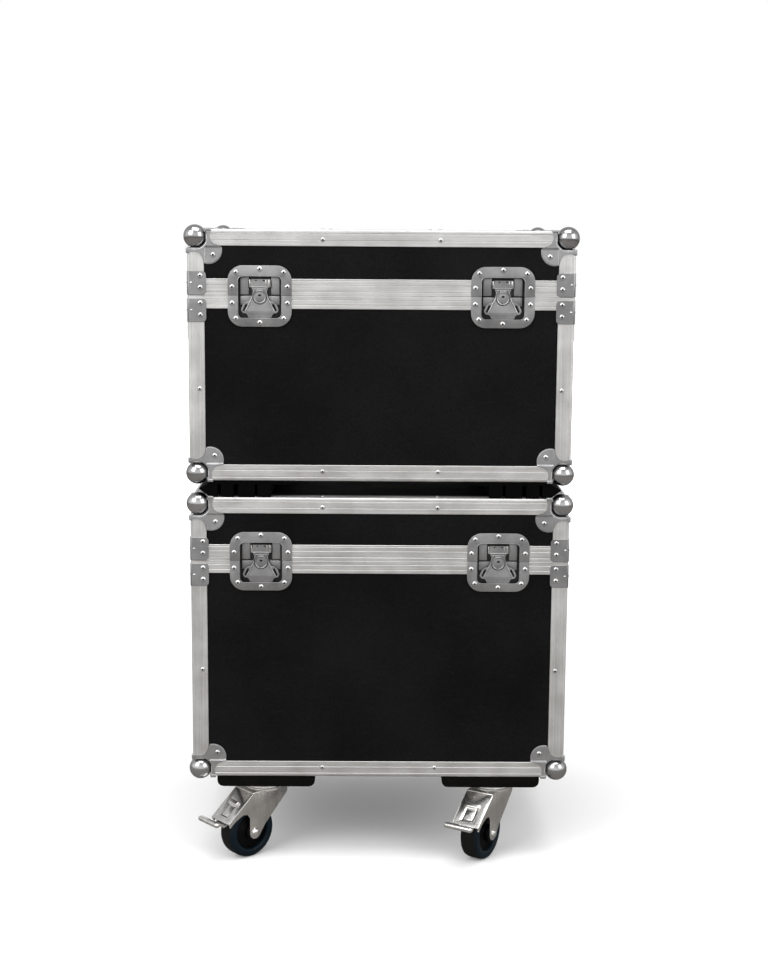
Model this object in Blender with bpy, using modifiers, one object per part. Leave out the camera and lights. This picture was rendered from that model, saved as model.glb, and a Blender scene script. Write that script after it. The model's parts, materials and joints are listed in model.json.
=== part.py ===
# A pair of stacked road cases for tools, the lower one on four braked swivel castors.
# Metres, +Z up, floor at z = 0, front at -Y. The case stands centred on the Z axis.
import math

import bmesh
import bpy
from mathutils import Matrix, Vector

# Overall sizes
case_width = 0.680
case_depth = 0.560
lower_base_height = 0.404
upper_base_height = 0.329
lid_height = 0.115
stack_gap = 0.030
fit_gap = 0.0003

# Panels and edge extrusions
ply = 0.009
edge_wall = 0.0017
edge_width = 0.029
edge_radius = 0.003
base_rim_height = 0.023
lid_rim_height = 0.029
base_web = 0.003
lid_web = 0.0075
flange_wall = 0.0016
flange_height = 0.014
tongue_width = 0.0034
tongue_height = 0.004
tongue_side_clearance = 0.0012
tongue_top_clearance = 0.0008

# Ball corners, corner leaves and rim brackets
ball_radius = 0.0204
ball_inset = 0.0127
ball_seat = 0.0335
ball_seat_skin = 0.0018
leaf_proud = 0.0012
leaf_reach = 0.061
leaf_neck = 0.041
bracket_width = 0.0325
bracket_height = 0.0415
lid_bracket_lift = 0.0005
base_bracket_lift = 0.0055

# Hinges; insets are counted from the case's side to a piece's middle or edge
hinge_inset = 0.140
hinge_width = 0.070
hinge_centre_width = 0.0244
hinge_leaf_height = 0.022
hinge_leaf_wall = 0.002
knuckle_radius = 0.004
hinge_pin_radius = 0.002
hinge_pin_clearance = 0.0003
knuckle_clearance = 0.0005

# Recessed latches; depths are counted inward from the front of the dish plate
latch_inset = 0.1265
latch_half_width = 0.056
latch_drop = 0.0545
latch_rise = 0.0525
latch_corner = 0.026
latch_plate = 0.0015
window_half_width = 0.0374
window_drop = 0.0395
window_rise = 0.033
window_corner = 0.007
dish_wall = 0.0012
boss_drop = 0.0026
boss_radius = 0.012
boss_front = 0.0005
boss_disc_back = 0.0042
shaft_radius = 0.006
wing_front = 0.0018
wing_thickness = 0.0016
wing_reach = 0.0412
wing_barrel_radius = 0.0015
wing_axis_rise = 0.0135
wing_hole_clearance = 0.0006
sweep_clearance = 0.0014
claw_front = 0.0045
claw_thickness = 0.0025
claw_half_width = 0.0188
claw_neck = 0.0125
claw_top = 0.0313
claw_shoulder = 0.0138
claw_travel = 0.006
slot_clearance = 0.0004
keeper_half_width = 0.014
keeper_low = 0.010
keeper_high = 0.022

# Side handles; the grip hangs in a dish
handle_rise = 0.60
handle_plate_half = (0.080, 0.055)
handle_cup_half = (0.063, 0.039)
handle_cup_depth = 0.0185
handle_corner = 0.012
bail_half_width = 0.045
bail_axis_rise = 0.0285
bail_drop = 0.052
bail_leg_radius = 0.004
bail_grip_radius = 0.0062
bail_bend = 0.012
bail_depth = 0.0092
bail_pin_length = 0.010
bail_lug_wall = 0.005
bail_lug_half = 0.0065

# Stacking runners under the upper case; every length here is counted from the case's side
runner_outer_inset = 0.0155
runner_inner_inset = 0.187
runner_plate = 0.006
runner_end_inset = 0.002
runner_ribs = ((0.055, 0.078), (0.0855, 0.1155), (0.1205, 0.1445))
runner_bumper_inset = 0.049

# Castor boards and castors; u runs from the swivel axis along the trail
board_side_inset = 0.044
board_width = 0.1793
board_thickness = 0.020
board_bevel = 0.011
board_end_inset = 0.003
castor_height = 0.142
castor_inset = 0.1265
castor_setback = 0.0595
castor_turns = (48.5, 32.0)
mount_plate = (0.117, 0.092, 0.0035)
race_radius = 0.030
race_height = 0.004
crown_radius = 0.036
crown_height = 0.007
crown_wall = 0.004
crown_back = 0.034
trail = 0.0416
wheel_radius = 0.050
tyre_half_width = 0.018
tyre_facets = 20
hub_half_width = 0.0235
hub_radius = 0.016
rim_radius = 0.034
axle_radius = 0.006
bolt_radius = 0.0085
bolt_height = 0.0035
bore_clearance = 0.0003
leg_wall = 0.003
leg_clearance = 0.0006
slope_top = 0.047
slope_end = (0.103, 0.080)
slope_wall = 0.0025
pedal_pivot = (0.0905, 0.0785)
pedal_pin_radius = 0.0022
pedal_half_width = 0.015
pedal_wall = 0.0025
tee = (0.1277, 0.0843)
tee_half_length = 0.029
tee_size = (0.011, 0.007)

# Worked out from the sizes above
half_x = case_width / 2
half_y = case_depth / 2
latch_x = half_x - latch_inset
hinge_x = half_x - hinge_inset
castor_x = half_x - castor_inset
runner_outer = half_x - runner_outer_inset
board_outer = half_x - board_side_inset
panel_inset = edge_wall + fit_gap
flange_face = panel_inset + ply + fit_gap
lower_bottom = castor_height + fit_gap + board_thickness + fit_gap
lower_split = lower_bottom + lower_base_height
lower_top = lower_split + fit_gap + lid_height
upper_bottom = lower_top + stack_gap
upper_split = upper_bottom + upper_base_height
plate_front = latch_plate + fit_gap
dish_back = flange_face - fit_gap
cavity_back = dish_back - dish_wall
pocket_half = wing_reach + sweep_clearance
pocket_drop = boss_drop + pocket_half
pocket_rise = pocket_half - boss_drop
hinge_axis_out = fit_gap + hinge_leaf_wall + knuckle_clearance + knuckle_radius
leg_inner = hub_half_width + leg_clearance
leg_outer = leg_inner + leg_wall

# Each material is a name, a colour, a roughness and a metallic value
laminate = ("black_laminate", (0.012, 0.012, 0.013), 0.55, 0.0)
aluminium = ("edge_aluminium", (0.72, 0.71, 0.69), 0.35, 1.0)
zinc = ("zinc_plate", (0.42, 0.42, 0.41), 0.38, 1.0)
steel = ("bright_steel", (0.60, 0.60, 0.59), 0.25, 1.0)
rubber = ("black_rubber", (0.015, 0.015, 0.015), 0.7, 0.0)
tyre_rubber = ("tyre_rubber", (0.010, 0.018, 0.026), 0.45, 0.0)

for thing in list(bpy.data.objects):
    bpy.data.objects.remove(thing)

case_collection = bpy.data.collections.new("tool_flight_case")
bench = bpy.data.collections.new("cutters_and_blanks")
bpy.context.scene.collection.children.link(case_collection)
bpy.context.scene.collection.children.link(bench)
materials = {}


def surface(name, colour, roughness, metallic):
    # One Principled material for each finish, made when first asked for.
    if name not in materials:
        made = bpy.data.materials.new(name)
        made.use_nodes = True
        shader = made.node_tree.nodes["Principled BSDF"]
        shader.inputs["Base Color"].default_value = (*colour, 1.0)
        shader.inputs["Roughness"].default_value = roughness
        shader.inputs["Metallic"].default_value = metallic
        materials[name] = made
    return materials[name]


def blank(bm):
    # A loose working solid from a bmesh, with its faces turned outward.
    bmesh.ops.recalc_face_normals(bm, faces=bm.faces[:])
    mesh = bpy.data.meshes.new("blank")
    bm.to_mesh(mesh)
    bm.free()
    made = bpy.data.objects.new("blank", mesh)
    bench.objects.link(made)
    return made


def baked(source):
    # The solid that a curve or a stack of modifiers gives, as a plain mesh.
    graph = bpy.context.evaluated_depsgraph_get()
    mesh = bpy.data.meshes.new_from_object(source.evaluated_get(graph))
    mesh.transform(source.matrix_world)
    bm = bmesh.new()
    bm.from_mesh(mesh)
    bmesh.ops.remove_doubles(bm, verts=bm.verts[:], dist=0.000001)
    bpy.data.objects.remove(source)
    bpy.data.meshes.remove(mesh)
    return blank(bm)


def combine(operation, base, others):
    # Boolean the other solids into the base one after another.
    for other in others:
        step = base.modifiers.new(operation, "BOOLEAN")
        step.operation = operation
        step.solver = "EXACT"
        step.object = other
        other.hide_render = True
        other.display_type = "WIRE"
    bpy.context.view_layer.update()
    result = baked(base)
    for other in others:
        bpy.data.objects.remove(other)
    return result


def join(base, *others):
    return combine("UNION", base, others)


def cut(base, *others):
    return combine("DIFFERENCE", base, others)


def box(low, high, radius=0.0, rounded=None, segments=2):
    # A block between two corners; rounded picks the edges that get the radius.
    size = Vector(high) - Vector(low)
    middle = (Vector(high) + Vector(low)) / 2
    place = Matrix.Translation(middle) @ Matrix.Diagonal((*size, 1.0))
    bm = bmesh.new()
    bmesh.ops.create_cube(bm, size=1.0, matrix=place)
    if radius:
        edges = [edge for edge in bm.edges if rounded(*(vert.co for vert in edge.verts))]
        bmesh.ops.bevel(bm, geom=edges, offset=radius, segments=segments,
                        profile=0.5, affect="EDGES")
    return blank(bm)


def ring(outer_inset, inner_inset, low, high):
    # A square ring that follows the case's outline, between two insets from its faces.
    outside = box((-half_x + outer_inset, -half_y + outer_inset, low),
                  (half_x - outer_inset, half_y - outer_inset, high))
    inside = box((-half_x + inner_inset, -half_y + inner_inset, low - ply),
                 (half_x - inner_inset, half_y - inner_inset, high + ply))
    return cut(outside, inside)


def cylinder(start, end, radius, segments=16, end_radius=None):
    start, end = Vector(start), Vector(end)
    span = end - start
    turn = Vector((0, 0, 1)).rotation_difference(span).to_matrix().to_4x4()
    bm = bmesh.new()
    bmesh.ops.create_cone(bm, cap_ends=True, segments=segments, radius1=radius,
                          radius2=radius if end_radius is None else end_radius,
                          depth=span.length, matrix=Matrix.Translation((start + end) / 2) @ turn)
    return blank(bm)


def ball(centre, radius, segments=12, rings=6):
    bm = bmesh.new()
    bmesh.ops.create_uvsphere(bm, u_segments=segments, v_segments=rings, radius=radius,
                              matrix=Matrix.Translation(centre))
    return blank(bm)


def sheet(outline, thickness, holes=()):
    # A flat plate in the XY plane, centred on z = 0, from an outline and its holes.
    curve = bpy.data.curves.new("outline", "CURVE")
    curve.dimensions = "2D"
    curve.fill_mode = "BOTH"
    curve.extrude = thickness / 2
    for loop in (outline, *holes):
        spline = curve.splines.new("POLY")
        spline.points.add(len(loop) - 1)
        for point, (x, y) in zip(spline.points, loop):
            point.co = (x, y, 0.0, 1.0)
        spline.use_cyclic_u = True
    made = bpy.data.objects.new("outline", curve)
    bench.objects.link(made)
    bpy.context.view_layer.update()
    return baked(made)


def moved(thing, matrix):
    thing.data.transform(matrix)
    bm = bmesh.new()
    bm.from_mesh(thing.data)
    bmesh.ops.recalc_face_normals(bm, faces=bm.faces[:])
    bm.to_mesh(thing.data)
    bm.free()
    return thing


def upright(thing, depth):
    # Stand a flat plate up: its y becomes z, and its middle plane goes to y = depth.
    return moved(thing, Matrix.Translation((0, depth, 0)) @ Matrix.Rotation(math.pi / 2, 4, "X"))


def turned(profile, segments):
    # A profile of (radius, z) points, down the outer side and back, turned about Z.
    mesh = bpy.data.meshes.new("profile")
    count = len(profile)
    mesh.from_pydata([(radius, 0.0, z) for radius, z in profile],
                     [(i, (i + 1) % count) for i in range(count)], [])
    made = bpy.data.objects.new("profile", mesh)
    bench.objects.link(made)
    screw = made.modifiers.new("Turn", "SCREW")
    screw.steps = segments
    screw.render_steps = segments
    screw.use_merge_vertices = True
    screw.merge_threshold = 0.00001
    bpy.context.view_layer.update()
    return baked(made)


def arc(centre, radius, start, end, steps):
    # Points on an arc, angles in degrees.
    angles = [math.radians(start + (end - start) * i / steps) for i in range(steps + 1)]
    return [(centre[0] + radius * math.cos(a), centre[1] + radius * math.sin(a)) for a in angles]


def finish(name, thing, finish_material, place=(0, 0, 0), turn=(0, 0, 0), parent=None):
    # Name a solid, give it its material and put it in the case's collection.
    thing.name = name
    thing.data.name = name
    thing.data.materials.clear()
    thing.data.materials.append(surface(*finish_material))
    bench.objects.unlink(thing)
    case_collection.objects.link(thing)
    thing.parent = parent
    thing.location = place
    thing.rotation_euler = turn
    return thing


def axis_empty(name, place, parent=None):
    # An empty on a joint's axis, for the pieces that move together about it.
    made = bpy.data.objects.new(name, None)
    case_collection.objects.link(made)
    made.parent = parent
    made.location = place
    return made


def shaded_smooth(thing, angle=35):
    thing.data.shade_smooth()
    thing.data.set_sharp_from_angle(angle=math.radians(angle))
    return thing


# Case halves: closed face at z = 0, rim at z = height. A lid is the same half turned over.


def latch_cut(side, height, drop, back):
    # The notch that a latch dish's cup takes out of a rim or a panel.
    reach = pocket_half + dish_wall + fit_gap
    return box((side * latch_x - reach, -half_y - ply, height - drop - dish_wall - fit_gap),
               (side * latch_x + reach, -half_y + back, height + ply))


def handle_cut(side, height):
    reach_y = handle_cup_half[0] + dish_wall + fit_gap
    reach_z = handle_cup_half[1] + dish_wall + fit_gap
    middle = height * handle_rise
    ends = sorted((side * (half_x - flange_face - ply), side * (half_x + ply)))
    return box((ends[0], -reach_y, middle - reach_z), (ends[1], reach_y, middle + reach_z))


def ball_seats():
    # The rebates at the closed face's corners that let the ball corners sink into the plywood.
    skin = panel_inset + ply - ball_seat_skin
    seats = []
    for sign_x in (-1, 1):
        for sign_y in (-1, 1):
            xs = sorted((sign_x * (half_x - ball_seat), sign_x * (half_x + ply)))
            ys = sorted((sign_y * (half_y - ball_seat), sign_y * (half_y + ply)))
            block = box((xs[0], ys[0], -ply), (xs[1], ys[1], ball_seat))
            kept = box((-half_x + skin, -half_y + skin, skin),
                       (half_x - skin, half_y - skin, ball_seat + ply))
            seats.append(cut(block, kept))
    return seats


def panel_shell(height, web, drop, handles):
    # Five plywood panels glued to an open box.
    inner = panel_inset + ply
    outside = box((-half_x + panel_inset, -half_y + panel_inset, panel_inset),
                  (half_x - panel_inset, half_y - panel_inset, height - web - fit_gap))
    inside = box((-half_x + inner, -half_y + inner, inner),
                 (half_x - inner, half_y - inner, height))
    notches = ball_seats() + [latch_cut(side, height, drop, flange_face + ply) for side in (-1, 1)]
    if handles:
        notches += [handle_cut(side, height) for side in (-1, 1)]
    return cut(outside, inside, *notches)


def corner_leaf(sign_x, sign_y, normal):
    # One flat leaf of a corner brace; normal is the axis that the leaf faces.
    lobe = (edge_width + leaf_reach) / 2
    bulge = lobe + (leaf_reach - lobe) * math.sqrt(0.5)
    start = -leaf_proud * 0.7
    outline = [(start, start), (leaf_neck, start), (leaf_reach, edge_width * 1.05),
               (bulge, bulge), (edge_width * 1.05, leaf_reach), (start, leaf_neck)]
    thickness = edge_wall * 2 + leaf_proud
    leaf = moved(sheet(outline, thickness), Matrix.Translation((0, 0, thickness / 2 - leaf_proud)))
    # The leaf's own x and y run along the edges and its z runs into the case.
    frames = {
        "Z": ((sign_x * -1, 0, 0), (0, sign_y * -1, 0), (0, 0, 1)),
        "Y": ((sign_x * -1, 0, 0), (0, 0, 1), (0, sign_y * -1, 0)),
        "X": ((0, sign_y * -1, 0), (0, 0, 1), (sign_x * -1, 0, 0)),
    }
    columns = [Vector(column) for column in frames[normal]]
    place = Matrix((columns[0], columns[1], columns[2])).transposed().to_4x4()
    place.translation = (sign_x * half_x, sign_y * half_y, 0)
    return moved(leaf, place)


def core(height):
    # What the braces and brackets are hollowed by: it ends inside the extrusions' walls.
    inset = edge_wall * 0.8
    return box((-half_x + inset, -half_y + inset, inset),
               (half_x - inset, half_y - inset, height + ply))


def ball_corner(sign_x, sign_y, height):
    # A ball on a brace with three leaves, hollow where the case's corner sits in it.
    solid = ball((sign_x * (half_x - ball_inset), sign_y * (half_y - ball_inset), ball_inset),
                 ball_radius)
    leaves = [corner_leaf(sign_x, sign_y, normal) for normal in "XYZ"]
    return cut(join(solid, *leaves), core(height))


def rim_bracket(sign_x, sign_y, low, high):
    # The bracket that wraps a vertical edge beside the rim.
    xs = sorted((sign_x * (half_x - bracket_width), sign_x * (half_x + leaf_proud)))
    ys = sorted((sign_y * (half_y - bracket_width), sign_y * (half_y + leaf_proud)))
    return cut(box((xs[0], ys[0], low), (xs[1], ys[1], high)), core(high))


def edge_frame(height, web, rim_height, drop, lid):
    # Edge extrusions, rim profile, corner braces with their balls, and rim brackets.
    cage = box((-half_x, -half_y, 0), (half_x, half_y, height - fit_gap), edge_radius,
               lambda a, b: min(a.z, b.z) < height / 2, segments=1)
    inner = box((-half_x + edge_wall, -half_y + edge_wall, edge_wall),
                (half_x - edge_wall, half_y - edge_wall, height + ply))
    wide_x, wide_y = half_x - edge_width, half_y - edge_width
    windows = [
        box((-wide_x, -half_y - ply, edge_width), (wide_x, half_y + ply, height - rim_height)),
        box((-half_x - ply, -wide_y, edge_width), (half_x + ply, wide_y, height - rim_height)),
        box((-wide_x, -wide_y, -ply), (wide_x, wide_y, edge_width)),
    ]
    cage = cut(cage, inner, *windows)

    corners = [(x, y) for x in (-1, 1) for y in (-1, 1)]
    balls = [ball_corner(x, y, height) for x, y in corners]
    lift = lid_bracket_lift if lid else base_bracket_lift
    brackets = [rim_bracket(x, y, height - lift - bracket_height, height - lift)
                for x, y in corners]
    cage = join(cage, *balls, *brackets)

    flange_back = flange_face + flange_wall
    rim = ring(edge_wall / 2, flange_back, height - web, height)
    tongue_inset = flange_back - tongue_width - tongue_side_clearance * 2 - flange_wall
    if lid:
        groove = ring(tongue_inset - tongue_side_clearance,
                      tongue_inset + tongue_width + tongue_side_clearance,
                      height - tongue_height - tongue_top_clearance, height + ply)
        rim = cut(rim, groove)
    else:
        tongue = ring(tongue_inset, tongue_inset + tongue_width, height - web / 2,
                      height + tongue_height)
        rim = join(rim, tongue)
    notches = [latch_cut(side, height, drop, flange_face) for side in (-1, 1)]
    cage = cut(join(cage, rim), *notches)
    flange = ring(flange_face + fit_gap / 2, flange_back + fit_gap / 2,
                  height - flange_height, height - web / 3)
    cage = join(cage, flange)
    if lid:
        cage = join(cage, *[lid_hinge_leaf(side, height) for side in (-1, 1)])
    return cage


# Hinges at the rear of a case


def hinge_barrel(x_low, x_high, height, radius):
    y = half_y + hinge_axis_out
    return cylinder((x_low, y, height), (x_high, y, height), radius, 10)


def leaf_plate(x_low, x_high, low, high, sunk):
    return box((x_low, half_y + fit_gap - sunk, low),
               (x_high, half_y + fit_gap + hinge_leaf_wall, high))


def lid_hinge_leaf(side, height):
    # The lid's leaf with its middle knuckle, in the lid's own turned-over frame.
    middle = side * hinge_x
    axis = height + fit_gap / 2
    reach = hinge_centre_width / 2
    plate = leaf_plate(middle - hinge_width / 2, middle + hinge_width / 2,
                       height - hinge_leaf_height, height - 0.001, fit_gap + edge_wall / 2)
    web_low = axis - knuckle_radius * 0.9
    bridge = box((middle - reach, half_y + hinge_leaf_wall / 2, web_low),
                 (middle + reach, half_y + hinge_axis_out, axis - 0.0006))
    barrel = hinge_barrel(middle - reach, middle + reach, axis, knuckle_radius)
    bore = hinge_barrel(middle - reach - ply, middle + reach + ply, axis,
                        hinge_pin_radius + hinge_pin_clearance)
    return cut(join(plate, bridge, barrel), bore)


def base_hinge_leaf():
    # The base's leaf with two outer knuckles and the pin, about the pin's middle.
    outer = hinge_width / 2
    inner = hinge_centre_width / 2 + fit_gap
    back = hinge_axis_out
    plate = box((-outer, fit_gap - back, -hinge_leaf_height),
                (outer, fit_gap + hinge_leaf_wall - back, -0.001))
    pieces = [cylinder((-outer - 0.001, 0, 0), (outer + 0.001, 0, 0), hinge_pin_radius, 8)]
    for low, high in ((-outer, -inner), (inner, outer)):
        pieces.append(cylinder((low, 0, 0), (high, 0, 0), knuckle_radius, 10))
        pieces.append(box((low, hinge_leaf_wall / 2 - back, -knuckle_radius * 0.9),
                          (high, 0, -0.0006)))
    return join(plate, *pieces)


# Latches, about a point on the case's front face at the split


def dish(half_width, far, corner, window_far, pocket_far, sign):
    # Half of a recessed latch dish; sign is -1 for the base's half and 1 for the lid's.
    near = 0.0 if sign < 0 else fit_gap
    outline = [(half_width, near)]
    outline += arc((half_width - corner, far - corner), corner, 0, 90, 5)
    outline += arc((-half_width + corner, far - corner), corner, 90, 180, 5)
    outline += [(-half_width, near), (-window_half_width, near)]
    outline += arc((-window_half_width + window_corner, window_far - window_corner),
                   window_corner, 180, 90, 3)
    outline += arc((window_half_width - window_corner, window_far - window_corner),
                   window_corner, 90, 0, 3)
    outline += [(window_half_width, near)]
    outline = [(x, sign * y) for x, y in outline]
    plate = upright(sheet(outline, latch_plate), -fit_gap - latch_plate / 2)
    reach = pocket_half + dish_wall
    low, high = sorted((sign * near, sign * (pocket_far + dish_wall)))
    cup = box((-reach, -fit_gap - latch_plate / 2, low), (reach, dish_back, high))
    low, high = sorted((sign * -ply, sign * pocket_far))
    cavity = box((-pocket_half, -ply, low), (pocket_half, cavity_back, high))
    return join(cut(cup, cavity), plate)


def base_dish():
    return dish(latch_half_width, latch_drop, latch_corner, window_drop, pocket_drop, -1)


def keeper_dish():
    # The lid's half, with the ledge that the claw bears on.
    shell = dish(latch_half_width, latch_rise, latch_corner, window_rise, pocket_rise, 1)
    front = claw_front + claw_thickness + fit_gap - plate_front
    ledge = box((-keeper_half_width, front, keeper_low),
                (keeper_half_width, cavity_back + dish_wall / 2, keeper_high))
    return join(shell, ledge)


def latch_boss():
    # The turning boss: disc, shaft and the tab that carries the wing's pin.
    disc = cylinder((0, boss_front - plate_front, 0), (0, boss_disc_back - plate_front, 0),
                    boss_radius, 20)
    shaft = cylinder((0, boss_front - plate_front + 0.001, 0), (0, cavity_back - fit_gap, 0),
                     shaft_radius, 12)
    half = shaft_radius
    axis_depth = wing_front + wing_thickness / 2 - plate_front
    tab = box((-half, axis_depth - wing_barrel_radius * 0.9, boss_radius / 2),
              (half, axis_depth + wing_barrel_radius * 0.9, wing_axis_rise))
    knuckle = cylinder((-half, axis_depth, wing_axis_rise), (half, axis_depth, wing_axis_rise),
                       wing_barrel_radius, 10)
    return join(disc, shaft, tab, knuckle)


def latch_wing():
    # The folding wing with a finger loop on each side, about its pin.
    arm = shaft_radius + fit_gap
    shoulder = arm + 0.0042
    top = wing_axis_rise + 0.001
    side = [(shoulder, top), (0.0126, 0.008), (0.0143, 0.0), (0.018, -0.007), (0.024, -0.0085),
            (0.030, -0.014), (0.0334, -0.023), (0.030, -0.0278), (0.025, -0.029),
            (0.022, -0.031), (0.0195, -0.036), (0.010, -0.0372)]
    hole = boss_radius + wing_hole_clearance
    opening = math.degrees(math.acos(arm / hole))
    inner = arc((0, 0), hole, 180 - opening, 360 + opening, 14)
    outline = side + [(-x, y) for x, y in reversed(side)]
    outline += [(-arm, top)] + inner + [(arm, top)]
    slots = []
    for sign in (-1, 1):
        slot = [(0.0205, -0.0125), (0.0243, -0.0122), (0.0298, -0.0235), (0.0262, -0.0252)]
        slots.append([(sign * x, y) for x, y in slot])
    shifted = [[(x, y - wing_axis_rise) for x, y in loop] for loop in (outline, *slots)]
    plate = upright(sheet(shifted[0], wing_thickness, shifted[1:]), 0)
    barrels = [cylinder((sign * arm, 0, 0), (sign * shoulder, 0, 0), wing_barrel_radius, 10)
               for sign in (-1, 1)]
    return join(plate, *barrels)


def latch_claw():
    # The claw plate, with the slot that the boss's shaft runs through.
    neck_end = -(shaft_radius + slot_clearance + claw_travel + 0.004)
    outline = [(claw_half_width, claw_shoulder), (claw_half_width, claw_top),
               (-claw_half_width, claw_top), (-claw_half_width, claw_shoulder),
               (-claw_neck, claw_shoulder - 0.003), (-claw_neck, neck_end),
               (claw_neck, neck_end), (claw_neck, claw_shoulder - 0.003)]
    radius = shaft_radius + slot_clearance
    slot = arc((0, 0), radius, 0, 180, 6) + arc((0, -claw_travel), radius, 180, 360, 6)
    depth = claw_front + claw_thickness / 2 - plate_front
    return upright(sheet(outline, claw_thickness, [slot]), depth)


# Side handles, about a point on the case's side face; -Y is outward


def rounded_rectangle(half_width, half_height, corner, steps=2):
    points = []
    for centre_x, centre_y, start in ((1, 1, 0), (-1, 1, 90), (-1, -1, 180), (1, -1, 270)):
        centre = (centre_x * (half_width - corner), centre_y * (half_height - corner))
        points += arc(centre, corner, start, start + 90, steps)
    return points


def handle_dish():
    outline = rounded_rectangle(*handle_plate_half, handle_corner)
    opening = rounded_rectangle(*handle_cup_half, handle_corner / 2)
    middle = panel_inset - fit_gap - latch_plate / 2
    plate = upright(sheet(outline, latch_plate, [opening]), middle)
    wide, tall = handle_cup_half
    cup = box((-wide - dish_wall, middle, -tall - dish_wall),
              (wide + dish_wall, handle_cup_depth, tall + dish_wall))
    cavity = box((-wide, -ply, -tall), (wide, handle_cup_depth - dish_wall, tall))
    shell = join(cut(cup, cavity), plate)
    cheek = bail_half_width + bail_leg_radius + fit_gap * 2
    for sign in (-1, 1):
        low, high = sorted((sign * cheek, sign * (cheek + bail_lug_wall)))
        lug = box((low, bail_depth - bail_lug_half, bail_axis_rise - bail_lug_half),
                  (high, handle_cup_depth - dish_wall / 2, bail_axis_rise + bail_lug_half))
        bore = cylinder((low - 0.002, bail_depth, bail_axis_rise),
                        (high + 0.002, bail_depth, bail_axis_rise),
                        bail_leg_radius + bore_clearance, 12)
        shell = join(shell, cut(lug, bore))
    return shell


def handle_bail():
    # A bent bar whose grip is thicker, hanging from its two pins.
    drop = bail_drop
    pin = bail_half_width + bail_pin_length
    bend = bail_bend
    half = bail_half_width
    side = [(pin, 0.0, 1.0), (half, 0.0, 1.0)]
    side += [(x, z, 1.0) for x, z in arc((half - bend, -drop + bend), bend, 0, -90, 3)]
    thick = bail_grip_radius / bail_leg_radius
    side += [(half - bend - 0.003, -drop, thick)]
    path = side + [(-x, z, radius) for x, z, radius in reversed(side)]
    curve = bpy.data.curves.new("bail", "CURVE")
    curve.dimensions = "3D"
    curve.bevel_depth = bail_leg_radius
    curve.bevel_resolution = 2
    curve.use_fill_caps = True
    spline = curve.splines.new("POLY")
    spline.points.add(len(path) - 1)
    for point, (x, z, radius) in zip(spline.points, path):
        point.co = (x, 0.0, z, 1.0)
        point.radius = radius
    made = bpy.data.objects.new("bail", curve)
    bench.objects.link(made)
    bpy.context.view_layer.update()
    return baked(made)


# Stacking runners and castor boards


def brace_reliefs(side, low, high):
    # Room for the corner braces' leaves at both ends of a runner or a board.
    near_x = half_x - leaf_reach - fit_gap
    near_y = half_y - leaf_reach - fit_gap
    reliefs = []
    for end in (-1, 1):
        xs = sorted((side * near_x, side * (half_x + ply)))
        ys = sorted((end * near_y, end * (half_y + ply)))
        reliefs.append(box((xs[0], ys[0], low), (xs[1], ys[1], high)))
    return reliefs


def stacking_runner(side):
    # A moulded runner: a plate, three ribs and a rounded outer bumper, under the upper case.
    top = -fit_gap
    bottom = -stack_gap + fit_gap
    middle = (top + bottom) / 2
    long = half_y - runner_end_inset
    inner = half_x - runner_inner_inset
    bumper = half_x - runner_bumper_inset
    outline = [(inner, top), (inner, top - runner_plate),
               (bumper, top - runner_plate), (bumper, bottom),
               (runner_outer - 0.020, bottom), (runner_outer, middle),
               (runner_outer - 0.026, top)]
    runner = upright(sheet([(side * x, z) for x, z in outline], 2 * long), 0)
    ribs = []
    for span in runner_ribs:
        low, high = sorted(side * (half_x - inset) for inset in span)
        ribs.append(box((low, -long, bottom), (high, long, top - runner_plate / 2)))
    return cut(join(runner, *ribs), *brace_reliefs(side, top - leaf_proud, top + ply),
               *brace_reliefs(side, bottom - ply, bottom + leaf_proud))


def castor_board(side):
    xs = sorted((side * (board_outer - board_width), side * board_outer))
    long = half_y - board_end_inset
    board = box((xs[0], -long, 0), (xs[1], long, board_thickness), board_bevel,
                lambda a, b: max(a.z, b.z) < board_thickness / 2 and abs(a.x - b.x) < board_width / 2,
                segments=3)
    return cut(board, *brace_reliefs(side, board_thickness - leaf_proud, board_thickness + ply))


# Castors, about the swivel axis at floor level; x runs along the trail


def castor_plate():
    width, depth, wall = mount_plate
    plate = box((-width / 2, -depth / 2, castor_height - wall), (width / 2, depth / 2, castor_height))
    race = cylinder((0, 0, castor_height - wall - race_height),
                    (0, 0, castor_height - wall / 2), race_radius, 20)
    return join(plate, race)


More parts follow.
